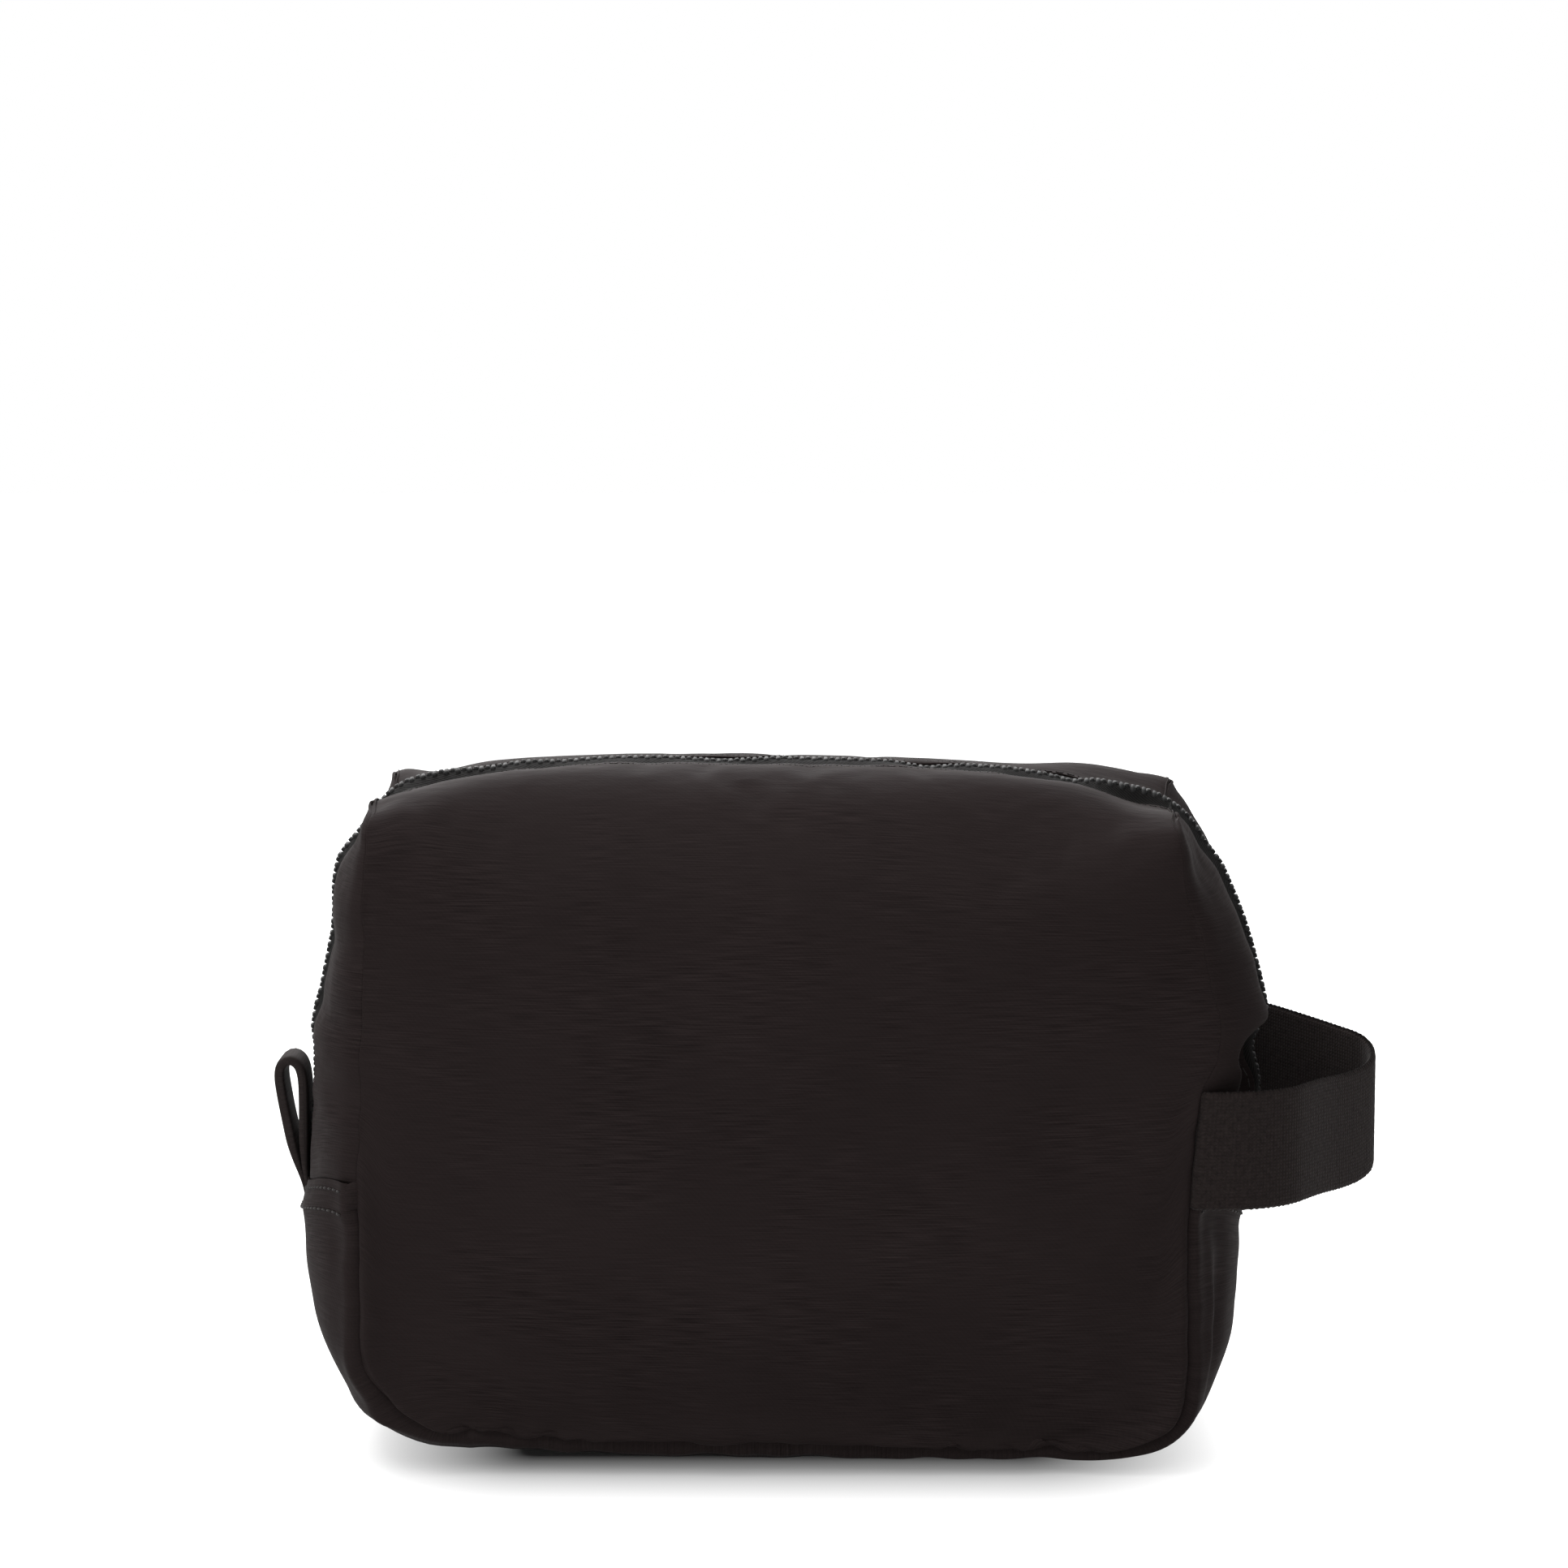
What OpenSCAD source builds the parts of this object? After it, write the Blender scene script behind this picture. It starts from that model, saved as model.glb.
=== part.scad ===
// Soft box-shaped toiletry bag: two panels, a gusset band round the sides and base, and a zip that runs
// up one side, over the top and down the other. A webbing loop on the right side carries or hangs it.
// Millimetres, +Z up, +X towards the webbing loop, -Y towards the front. The origin is on the floor,
// under the middle of the base.

/* [Bag] */
// Width of the front and back panels between their side seams, near the base
panel_w = 218; // [190:1:250]
// Width of the panels at their top corners
panel_top_w = 212; // [186:1:246]
// Height of the zip above the floor, at the middle of the top
bag_h = 184.5; // [170:0.5:210]
// How far the zip drops from the middle of the top to the top corners
crown_drop = 9; // [4:0.5:14]
// Depth between the front and back seams
seam_depth = 98; // [84:1:116]
// How far each panel swells out past its seams
panel_bulge = 8; // [3:0.5:12]
// How far each side swells out past the seams
side_bulge = 18; // [10:0.5:24]
// How far the right side, which carries the loop, flares out further on its way up
right_flare = 4.5; // [0:0.5:8]
// Height of the panels' bottom seam above the floor
base_rise = 8; // [5:0.5:12]
// Radius of the panels' bottom corners
corner_r = 27; // [18:1:34]
// Height of the side seams, where the gusset band ends and the zip begins
gusset_h = 68; // [60:1:78]
// Height where the panels start to round over towards the zip
shoulder_h = 130; // [124:1:140]

/* [Fabric] */
// Thickness of the outer fabric
shell_t = 1.2; // [0.8:0.1:2]
// Thickness of the lining
lining_t = 0.5; // [0.3:0.1:1]
// Space between the outer fabric and the lining
layer_gap = 0.3; // [0.2:0.05:0.6]
// Space between two pieces that are sewn together
seam_gap = 0.2; // [0.1:0.05:0.4]
// Space between the pieces above and below the fold of the mouth
fold_gap = 0.4; // [0.3:0.1:0.8]

/* [Zip] */
// Distance across the zip between the two fabric edges
zip_slot_w = 16; // [14:0.5:20]
// Thickness of the zip tape
tape_t = 0.8; // [0.5:0.1:1.2]
// Distance between neighbouring teeth of one tape
tooth_pitch = 3.2; // [3:0.1:4]
// Length of a tooth along the zip
tooth_l = 1.3; // [1:0.05:1.4]
// Height of a tooth through the tape
tooth_h = 2.6; // [2:0.1:3]
// How far a tooth reaches past the middle of the zip
tooth_reach = 1.3; // [0.8:0.1:1.6]
// How far each tape stays back from the middle of the zip
tape_back = 3; // [2.5:0.1:3.5]

/* [Slider] */
// Length of the zip slider along the zip
slider_l = 12; // [10:0.5:15]
// Width of the slider across the zip
slider_w = 9; // [8.5:0.25:11]
// Thickness of each of the slider's two plates
slider_plate_t = 1.2; // [1:0.1:1.6]
// Running space between the slider and the zip
slider_clear = 0.3; // [0.2:0.05:0.4]
// How far the slider can travel up the straight side of the zip
slider_travel = 24; // [12:1:36]
// Radius of the puller's pin
pin_r = 0.9; // [0.7:0.05:1.1]
// Radial play of the pin in the slider's lug
pin_play = 0.08; // [0.03:0.01:0.1]
// Length of the puller from its pin
puller_l = 16; // [14:0.5:24]
// Width of the puller
puller_w = 7; // [6.5:0.25:9]
// Thickness of the puller's tab
puller_t = 1.6; // [1:0.1:2]

/* [Handle] */
// Width of the webbing
strap_w = 30; // [20:1:36]
// Thickness of the webbing
strap_t = 2; // [1.4:0.1:2.6]
// Height of the middle of the webbing above the floor
handle_h = 85.5; // [80:0.5:92]
// How far the webbing loop stands out from the side seams
handle_reach = 53; // [48:1:64]
// Radius of the fold at the outer end of the loop
handle_tip_r = 13; // [8:0.5:18]
// Space between the sewn roots and the swinging loop
handle_gap = 0.4; // [0.3:0.1:0.8]

/* [End tab] */
// Length of the folded tab at the left end of the zip
tab_l = 33; // [24:1:40]
// Width of the tab's tape, front to back
tab_w = 14; // [10:0.5:18]
// Thickness of the tab's tape
tab_t = 2.4; // [1.8:0.1:3]
// Width of the loop at its widest
tab_loop_w = 8.5; // [8:0.5:12]

/* [Hidden] */
$fn = 32;

black_nylon = "#262323";
black_webbing = "#2a2726";
black_tape = "#1d1b1b";
black_plastic = "#141313";
grey_lining = "#3b3a3c";
dark_metal = "#33322f";

// Places that follow from the driving dimensions
end_h = bag_h - crown_drop;
slot_half = zip_slot_w / 2;
seam_half = seam_depth / 2;
stop_l = 2.4;
stop_space = 1;
slider_park = gusset_h + stop_l + 2 * stop_space + slider_l / 2;
// The mouth folds above both the parked slider and the sewn roots of the loop
fold_space = 1.5;
fold_h = max(slider_park + slider_l / 2, handle_h + strap_w / 2) + fold_space;
bulge_top_h = slider_park + slider_travel + slider_l / 2;
panel_lean = (panel_w - panel_top_w) / 2 / (end_h - gusset_h);
left_lean = atan(panel_lean);
right_lean = atan(panel_lean - right_flare / (bulge_top_h - gusset_h));

// Shape of the swelling: how square the panel's fullness, the sides and the crown are
panel_power = 3;
side_power = 2.2;
side_fall_power = 2.5;
crown_power = 3.5;
shoulder_power = 2.2;
corner_power = 5;
base_bulge = base_rise + 1;

// Fineness of the faceted sheets
panel_cols = 18;
strip_cols = 5;
arc_steps = 7;
shoulder_steps = 9;
depth_steps = 12;
run_steps = 6;
crown_steps = 24;

function clamp01(v) = max(0, min(1, v));
function smooth(v) = let (c = clamp01(v)) c * c * (3 - 2 * c);
function mix(a, b, k) = a + (b - a) * k;
function steps(a, b, n) = [for (i = [0:n]) mix(a, b, i / n)];

// Half the width between the side seams at height z
function half_w(z) = mix(panel_w, panel_top_w, clamp01((z - gusset_h) / (end_h - gusset_h))) / 2;
// Height of the zip across the top, u from -1 at the left corner to 1 at the right
function crown(u) = bag_h - crown_drop * pow(abs(u), crown_power);
// Distance of a panel's outer face from the middle plane
function panel_y(u, z) = seam_half
    + panel_bulge * (1 - pow(abs(u), panel_power)) * smooth((z - base_rise) / (gusset_h - base_rise));
// Full swelling at height z above the side seams; side is -1 on the left and 1 on the right
function full_swell(z, side) = side_bulge
    + (side > 0 ? right_flare * clamp01((z - gusset_h) / (bulge_top_h - gusset_h)) : 0);
// How far a side swells at height z, at the middle of its depth
function side_swell(z, side) = z > gusset_h
    ? full_swell(z, side) * (1 - pow(clamp01((z - bulge_top_h) / (end_h - bulge_top_h)), side_fall_power))
    : mix(base_bulge, side_bulge, smooth((z - base_rise) / (gusset_h - base_rise)));
// Share of the swelling left at depth y where the seams are at plus and minus y_seam
function swell_share(y, y_seam) = 1 - pow(min(1, abs(y) / y_seam), side_power);
// Outer face of a side at the zip
function side_x(z, side) = half_w(z) + seam_gap + shell_t + side_swell(z, side);

// Closed sheet between two grids of points, with walls along its four edges
module sheet(outer, inner) {
    last_row = len(outer) - 1;
    last_col = len(outer[0]) - 1;
    count = len(outer) * len(outer[0]);
    points = concat([for (row = outer) each row], [for (row = inner) each row]);
    function at(i, j, layer) = layer * count + i * (last_col + 1) + j;
    along = outer[1][0] - outer[0][0];
    across = outer[0][1] - outer[0][0];
    turned = cross(along, across) * (outer[0][0] - inner[0][0]) > 0;
    function quad(a, b, c, d) = turned ? [[c, b, a], [d, c, a]] : [[a, b, c], [a, c, d]];
    faces = [
        for (i = [0:last_row - 1], j = [0:last_col - 1])
            each quad(at(i, j, 0), at(i + 1, j, 0), at(i + 1, j + 1, 0), at(i, j + 1, 0)),
        for (i = [0:last_row - 1], j = [0:last_col - 1])
            each quad(at(i, j, 1), at(i, j + 1, 1), at(i + 1, j + 1, 1), at(i + 1, j, 1)),
        for (j = [0:last_col - 1])
            each quad(at(0, j, 0), at(0, j + 1, 0), at(0, j + 1, 1), at(0, j, 1)),
        for (j = [0:last_col - 1])
            each quad(at(last_row, j + 1, 0), at(last_row, j, 0), at(last_row, j, 1), at(last_row, j + 1, 1)),
        for (i = [0:last_row - 1])
            each quad(at(i + 1, 0, 0), at(i, 0, 0), at(i, 0, 1), at(i + 1, 0, 1)),
        for (i = [0:last_row - 1])
            each quad(at(i, last_col, 0), at(i + 1, last_col, 0), at(i + 1, last_col, 1), at(i, last_col, 1))
    ];
    polyhedron(points, faces);
}

// Turns a piece of the front half into the one of the back half
module to_back() { mirror([0, 1, 0]) children(); }

// Outline of the gusset's seam from the left side seam, round the base, to the right side seam.
// Each entry is [x, z, outward x, outward z].
function seam_outline(inset) = let (
        w = panel_w / 2 - inset,
        low = base_rise + inset,
        r = corner_r - inset,
        left = [
            for (z = steps(gusset_h, low + r, 4)) [-w, z, -1, 0],
            for (q = steps(0, 90, arc_steps)) if (q > 0)
                [-w + r - r * cos(q), low + r - r * sin(q), -cos(q), -sin(q)]
        ],
        floor = [for (x = steps(-w + r, w - r, 6)) if (abs(x) < w - r - 1) [x, low, 0, -1]]
    )
    concat(left, floor, [for (i = [len(left) - 1:-1:0]) [-left[i][0], left[i][1], -left[i][2], left[i][3]]]);

// Point on a band round the seam outline, at depth y and a distance out from the seam
function band_point(edge, y, out, y_seam, lowest) = let (
        d = out + side_swell(edge[1], sign(edge[0])) * swell_share(y, y_seam)
    )
    [edge[0] + edge[2] * d, y, max(lowest, edge[1] + edge[3] * d)];

// Band that goes down the left side, under the base and up the right side
module band(inset, out, thick, y_half, lowest) {
    rim = seam_outline(inset);
    depths = steps(-y_half, y_half, depth_steps);
    function face(d, low) = [for (edge = rim) [for (y = depths) band_point(edge, y, d, seam_half, low)]];
    sheet(face(out + thick, lowest), face(out, lowest + thick));
}

// Lower part of a panel, from its bottom seam to the fold, set back from the outer face and from the seams
module panel_lower(back, thick, inset) {
    r = corner_r - inset;
    low = base_rise + inset;
    rows = concat(
        [for (q = steps(0, 90, arc_steps)) [low + r * (1 - cos(q)), panel_w / 2 - inset - r + r * sin(q)]],
        [for (z = steps(low + r, gusset_h, 3)) if (z > low + r) [z, panel_w / 2 - inset]],
        [[(fold_h - fold_gap / 2), half_w(fold_h) - inset]]
    );
    function point(row, u, d) = [row[1] * u, d - panel_y(row[1] * u / half_w(row[0]), row[0]), row[0]];
    sheet(
        [for (row = rows) [for (u = steps(-1, 1, panel_cols)) point(row, u, back)]],
        [for (row = rows) [for (u = steps(-1, 1, panel_cols)) point(row, u, back + thick)]]
    );
}

// Point of a panel over the shoulder: q is 0 on the upright face and 90 at the zip
function shoulder_point(u, q, back, inset) = let (
        n = mix(shoulder_power, corner_power, pow(abs(u), 4)),
        y = slot_half + (panel_y(u, shoulder_h) - back - slot_half) * pow(cos(q), 2 / n),
        z = shoulder_h + (crown(u) - back - shoulder_h) * pow(sin(q), 2 / n)
    )
    [(half_w(z) - inset) * u, -y, z];

// Upper part of a panel, from the fold over the shoulder to the zip
module panel_upper(back, thick, inset) {
    cols = steps(-1, 1, panel_cols);
    upright = steps(fold_h + fold_gap / 2, shoulder_h, 3);
    function face(d) = [
        for (z = upright) [for (u = cols) [(half_w(z) - inset) * u, d - panel_y(u, z), z]],
        for (q = steps(0, 90, shoulder_steps)) if (q > 0) [for (u = cols) shoulder_point(u, q, d, inset)]
    ];
    sheet(face(back), face(back + thick));
}

// Seam of the front panel's end: [depth, height] over the shoulder
function end_seam(q) = let (p = shoulder_point(1, q, 0, 0)) [-p[1], p[2]];

// Side strip between the front panel's seam and the zip, over the given [seam depth, height] rows
module side_strip(rows, side) {
    function out(y, row) = side_x(row[1], side) - side_swell(row[1], side) * (1 - swell_share(y, row[0]));
    function depths(row) = steps(slot_half, row[0], strip_cols);
    function face(d) = [for (row = rows) [for (y = depths(row)) [side * (out(y, row) - d), -y, row[1]]]];
    sheet(face(0), face(shell_t));
}
module strip_lower(side) {
    side_strip([for (z = steps(gusset_h + seam_gap, fold_h - fold_gap / 2, 2)) [seam_half, z]], side);
}
module strip_upper(side) {
    last_q = 88;
    side_strip(concat(
        [for (z = steps(fold_h + fold_gap / 2, shoulder_h, 4)) [seam_half, z]],
        [for (q = steps(0, last_q, shoulder_steps)) if (q > 0) end_seam(q)]
    ), side);
}

// Middle line of the zip's outer face, [x, z], from the left fold, over the top, to the right fold.
// A smooth bend joins each side run to the run over the top.
zip_bend = 10;
bend_steps = 8;
function bend(p, q, p_way, q_way) = let (
        reach = norm(q - p) * 0.36,
        a = p + p_way * reach,
        b = q - q_way * reach
    )
    [for (k = steps(0, 1, bend_steps)) let (j = 1 - k)
        j * j * j * p + 3 * j * j * k * a + 3 * j * k * k * b + k * k * k * q];
top_end = 1 - 2 * zip_bend / panel_top_w;
top_run = [for (u = steps(-top_end, top_end, crown_steps)) [u * panel_top_w / 2, crown(u)]];
function way(a, b) = (b - a) / norm(b - a);
function side_run(side) = [
    for (z = steps(fold_h + fold_gap / 2, bulge_top_h, 2)) [side * side_x(z, side), z],
    for (z = steps(bulge_top_h, end_h - zip_bend, run_steps)) if (z > bulge_top_h) [side * side_x(z, side), z]
];
// Run up one side and round its bend, ending just before the end of the run over the top
function bent_run(side) = let (
        run = side_run(side),
        last = len(run) - 1,
        end = side < 0 ? top_run[0] : top_run[crown_steps],
        next = side < 0 ? top_run[1] : top_run[crown_steps - 1],
        turn = bend(run[last], end, way(run[last - 1], run[last]), way(end, next))
    ) concat(run, [for (i = [1:bend_steps - 1]) turn[i]]);
right_run = bent_run(1);
zip_line = concat(bent_run(-1), top_run, [for (i = [len(right_run) - 1:-1:0]) right_run[i]]);
// Middle line of the zip's closed end on one side, from the side seam to the fold
function end_line(side) = [
    for (z = [gusset_h + seam_gap, fold_h - fold_gap / 2]) [side * side_x(z, side), z]
];

// Unit direction of a line at point i, and the direction that points out of the bag
function heading(line, i) = let (
        d = line[min(len(line) - 1, i + 1)] - line[max(0, i - 1)]
    ) d / norm(d);
function outward(line, i, side) = let (h = heading(line, i)) side * [-h[1], h[0]];

// One tape of the zip along a line, on the front half
tape_sink = 0.2;
module tape(line, side) {
    function ring(i, d) = let (p = line[i] - outward(line, i, side) * d)
        [for (y = [slot_half - seam_gap, tape_back]) [p[0], -y, p[1]]];
    sheet(
        [for (i = [0:len(line) - 1]) ring(i, tape_sink)],
        [for (i = [0:len(line) - 1]) ring(i, tape_sink + tape_t)]
    );
}

// Lengths along a line up to each of its points, and the place at a given length: [x, z, turn about Y]
function gap_after(line, i) = i + 1 < len(line) ? norm(line[i + 1] - line[i]) : 0;
function lengths(line) = [
    for (i = 0, sum = 0; i < len(line); sum = sum + gap_after(line, i), i = i + 1) sum
];
function place(line, sums, s) = let (
        i = max([for (k = [0:len(line) - 2]) sums[k] <= s ? k : 0]),
        d = line[i + 1] - line[i],
        p = line[i] + d * (s - sums[i]) / norm(d)
    ) [p[0], p[1], atan2(d[0], d[1])];

// Row of teeth of the front tape; a shift of half a pitch sets the other tape's teeth between them
tooth_w = tape_back - seam_gap / 2 + tooth_reach;
module tooth_at(x, z, turn, out) {
    translate([x, 0, z]) rotate([0, turn, 0])
        translate([-out * (tape_sink + tape_t / 2) - tooth_h / 2, -tape_back + seam_gap / 2, -tooth_l / 2])
            cube([tooth_h, tooth_w, tooth_l]);
}
module teeth(line, first, last, out) {
    sums = lengths(line);
    for (s = [first:tooth_pitch:last]) {
        p = place(line, sums, s);
        tooth_at(p[0], p[1], p[2], out);
    }
}
// Teeth of the zip's upper run: the back tape's teeth start half a pitch later
module upper_teeth(shift) {
    sums = lengths(zip_line);
    teeth(zip_line, tooth_l + shift * tooth_pitch, sums[len(sums) - 1] - tooth_l, -1);
}
// Teeth of a closed end, counted down from the fold so that they go on with the upper run
module end_teeth(side, lowest_z) {
    line = end_line(side);
    full = norm(line[1] - line[0]);
    first = lowest_z - line[0][1] + tooth_l;
    rows = floor((full - tooth_l / 2 - first) / (tooth_pitch / 2));
    for (k = [0:rows]) {
        s = full - tooth_l - k * tooth_pitch / 2;
        p = place(line, lengths(line), s);
        if (k % 2 == 0) tooth_at(p[0], p[1], p[2], side);
        else to_back() tooth_at(p[0], p[1], p[2], side);
    }
}

// Puts a piece on the right side's zip at height z: X out of the bag, Z up along the zip
module on_right_zip(z) { translate([side_x(z, 1), 0, z]) rotate([0, -right_lean, 0]) children(); }
module on_left_zip(z) {
    translate([-side_x(z, -1), 0, z]) rotate([0, left_lean, 0]) mirror([1, 0, 0]) children();
}

// Plates of the slider, measured from the zip's outer face
tooth_top = tooth_h / 2 - tape_sink - tape_t / 2;
tooth_bottom = tooth_top - tooth_h;
plate_outer = tooth_top + slider_clear;
plate_inner = tooth_bottom - slider_clear;
tape_under = -tape_sink - tape_t;
post_l = 2.2;
post_w = 2.4;
flange_w = 1.1;
lug_wall = 0.9;
lug_w = 3;
pin_out = plate_outer + slider_plate_t + pin_r + pin_play + lug_wall / 2;
pin_up = 1.5;
module slider_body() {
    color(dark_metal) on_right_zip(slider_park) difference() {
        union() {
            translate([plate_outer, -slider_w / 2, -slider_l / 2]) cube([slider_plate_t, slider_w, slider_l]);
            translate([plate_inner - slider_plate_t, -slider_w / 2, -slider_l / 2])
                cube([slider_plate_t, slider_w, slider_l]);
            // Post that parts the teeth, at the end that leads when the zip is closed
            translate([plate_inner - slider_plate_t / 2, -post_w / 2, -slider_l / 2])
                cube([plate_outer - plate_inner + slider_plate_t, post_w, post_l]);
            // Flanges that hold the tapes
            for (side = [-1, 1]) translate([0, side * (slider_w - flange_w) / 2, 0]) {
                translate([slider_clear - tape_sink, -flange_w / 2, -slider_l / 2])
                    cube([plate_outer + tape_sink - slider_clear + slider_plate_t / 2, flange_w, slider_l]);
                translate([plate_inner - slider_plate_t / 2, -flange_w / 2, -slider_l / 2])
                    cube([tape_under - slider_clear - plate_inner + slider_plate_t / 2, flange_w, slider_l]);
            }
            // Lug that carries the puller's pin
            slider_lug();
        }
        translate([pin_out, 0, pin_up]) rotate([90, 0, 0])
            cylinder(r = pin_r + pin_play, h = lug_w + 2, center = true);
    }
}
module slider_lug() {
    lug_r = pin_r + pin_play + lug_wall;
    translate([pin_out, 0, pin_up]) rotate([90, 0, 0]) cylinder(r = lug_r, h = lug_w, center = true);
    translate([plate_outer + slider_plate_t / 2, -lug_w / 2, pin_up - lug_r])
        cube([pin_out - plate_outer - slider_plate_t / 2, lug_w, 2 * lug_r]);
}

// Puller: two arms, a pin through the lug and a flat tab that hangs down the zip
arm_gap = 0.3;
arm_l = 5;
module puller() {
    arm_t = (puller_w - lug_w) / 2 - arm_gap;
    end_z = -puller_l + puller_w / 2;
    color(dark_metal) on_right_zip(slider_park) translate([pin_out, 0, pin_up]) {
        rotate([90, 0, 0]) cylinder(r = pin_r, h = puller_w, center = true);
        for (side = [-1, 1]) translate([0, side * (puller_w - arm_t) / 2, 0]) {
            rotate([90, 0, 0]) cylinder(r = pin_r + lug_wall / 2, h = arm_t, center = true);
            translate([-puller_t / 2, -arm_t / 2, -arm_l]) cube([puller_t, arm_t, arm_l]);
        }
        translate([-puller_t / 2, -puller_w / 2, end_z])
            cube([puller_t, puller_w, -end_z - arm_l + puller_t]);
        translate([0, 0, end_z]) rotate([0, 90, 0]) cylinder(d = puller_w, h = puller_t, center = true);
    }
}

// Stops at the two ends of the zip
module zip_bottom_stop() {
    stop_w = 2 * (tape_back - seam_gap / 2);
    color(dark_metal) on_left_zip(gusset_h + stop_space + stop_l / 2)
        translate([-tape_sink - tape_t / 2, 0, 0]) cube([tooth_h, stop_w, stop_l], center = true);
}
module zip_top_stops() {
    stop_w = tape_back - seam_gap / 2 - post_w / 2;
    color(dark_metal) on_right_zip(gusset_h + stop_space + stop_l / 2)
        for (side = [-1, 1]) translate([-tape_sink - tape_t / 2, side * (post_w + stop_w) / 2, 0])
            cube([tooth_h, stop_w, stop_l], center = true);
}

// Webbing loop on the right side. It swings about a line along Y through the sewn roots.
handle_x = panel_w / 2 + seam_gap;
root_y = seam_half + seam_gap + strap_t / 2;
root_r = strap_w / 2 + 0.6;
loop_start = root_r - 1;

// Points of an arc that rounds the corner b of the path a, b, c
function fillet(a, b, c, r) = let (
        u = (a - b) / norm(a - b),
        v = (c - b) / norm(c - b),
        half = acos(u * v) / 2,
        t = r / tan(half),
        centre = b + (u + v) / norm(u + v) * r / sin(half),
        q0 = atan2((b + u * t - centre)[1], (b + u * t - centre)[0]),
        turn = (u[0] * v[1] - u[1] * v[0] > 0 ? -1 : 1) * (180 - 2 * half)
    ) [for (q = steps(0, turn, 8)) centre + r * [cos(q0 + q), sin(q0 + q)]];
// Band of a given thickness along a path, as an outline
function ribbon(path, t) = concat(
    [for (i = [0:len(path) - 1]) path[i] + outward(path, i, 1) * t / 2],
    [for (i = [len(path) - 1:-1:0]) path[i] - outward(path, i, 1) * t / 2]
);
// Plan of the loop, from the front root to the back root
bend_r = 16;
bend_x = handle_x + loop_start + 10;
tip = [handle_x + handle_reach - strap_t / 2 + handle_tip_r * 0.35, 0];
handle_plan = concat(
    [[handle_x + loop_start, -root_y]],
    fillet([handle_x, -root_y], [bend_x, -root_y], tip, bend_r),
    fillet([bend_x, -root_y], tip, [bend_x, root_y], handle_tip_r),
    fillet(tip, [bend_x, root_y], [handle_x, root_y], bend_r),
    [[handle_x + loop_start, root_y]]
);
module handle_axis_rod(r) {
    translate([handle_x, 0, handle_h]) rotate([90, 0, 0])
        cylinder(r = r, h = seam_depth + 6 * strap_t, center = true, $fn = 64);
}
module handle_loop() {
    color(black_webbing) difference() {
        translate([0, 0, handle_h - strap_w / 2])
            linear_extrude(strap_w) polygon(ribbon(handle_plan, strap_t));
        handle_axis_rod(root_r + handle_gap);
    }
}
module handle_root() {
    color(black_webbing) intersection() {
        translate([handle_x, -root_y - strap_t / 2, handle_h - strap_w / 2])
            cube([root_r + 1, strap_t, strap_w]);
        handle_axis_rod(root_r);
    }
}

// Folded tab that stands up at the left end of the zip and swings about its sewn foot. It is drawn on the
// zip there: X out of the bag, Z up along the zip.
tab_clear = 0.3;
tab_foot_r = tab_t;
tab_foot_x = tooth_top + tab_clear + tab_foot_r;
tab_sewn_l = 2;
tab_straight_l = 5;
tab_top_turn = 200;
// Middle line of the loop: from the foot up the inner side, round the top and down the outer side
function tab_line() = let (
        top_r = (tab_loop_w - tab_t) / 2,
        top = [tab_foot_x + tab_loop_w / 2 - tab_t, tab_l - tab_loop_w / 2],
        half_turn = tab_top_turn / 2,
        inner_x = tab_foot_x - tab_t / 2,
        outer_x = tab_foot_x + tab_t / 2
    ) concat(
        [[inner_x, tab_foot_r], [inner_x, tab_foot_r + tab_straight_l]],
        [for (q = steps(-half_turn, half_turn, 12)) top + top_r * [sin(q), cos(q)]],
        [[outer_x, tab_foot_r + tab_straight_l], [outer_x, tab_foot_r]]
    );
module end_tab() {
    color(black_nylon) on_left_zip(gusset_h) {
        rotate([90, 0, 0]) linear_extrude(tab_w, center = true) polygon(ribbon(tab_line(), tab_t));
        translate([tab_foot_x, 0, 0]) rotate([90, 0, 0]) cylinder(r = tab_foot_r, h = tab_w, center = true);
        translate([tab_foot_x - tab_foot_r, -tab_w / 2, 0])
            cube([2 * tab_foot_r, tab_w, tab_foot_r + tab_sewn_l]);
    }
}

// Pieces that are fixed to the bag
lining_back = shell_t + layer_gap;
lining_inset = layer_gap + lining_t;
module gusset_band() { color(black_nylon) band(0, seam_gap, shell_t, seam_half, 0); }
module front_panel_lower() { color(black_nylon) panel_lower(0, shell_t, 0); }
module back_panel_lower() { to_back() front_panel_lower(); }
module lining_gusset() {
    color(grey_lining) band(lining_inset, seam_gap, lining_t, seam_half - lining_back - lining_t - layer_gap,
        lining_back + seam_gap);
}
module lining_front_lower() { color(grey_lining) panel_lower(lining_back, lining_t, lining_inset); }
module lining_back_lower() { to_back() lining_front_lower(); }
module left_front_strip_lower() { color(black_nylon) strip_lower(-1); }
module right_front_strip_lower() { color(black_nylon) strip_lower(1); }
module left_back_strip_lower() { to_back() left_front_strip_lower(); }
module right_back_strip_lower() { to_back() right_front_strip_lower(); }
module left_zip_end_tapes() {
    color(black_tape) {
        tape(end_line(-1), 1);
        to_back() tape(end_line(-1), 1);
    }
}
module right_zip_end_tapes() {
    color(black_tape) {
        tape(end_line(1), -1);
        to_back() tape(end_line(1), -1);
    }
}
module left_zip_end_teeth() { color(black_plastic) end_teeth(-1, gusset_h + 2 * stop_space + stop_l); }
module right_zip_end_teeth() {
    color(black_plastic) end_teeth(1, slider_park - slider_l / 2 + post_l + slider_clear);
}
module handle_root_front() { handle_root(); }
module handle_root_back() { to_back() handle_root(); }

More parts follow.
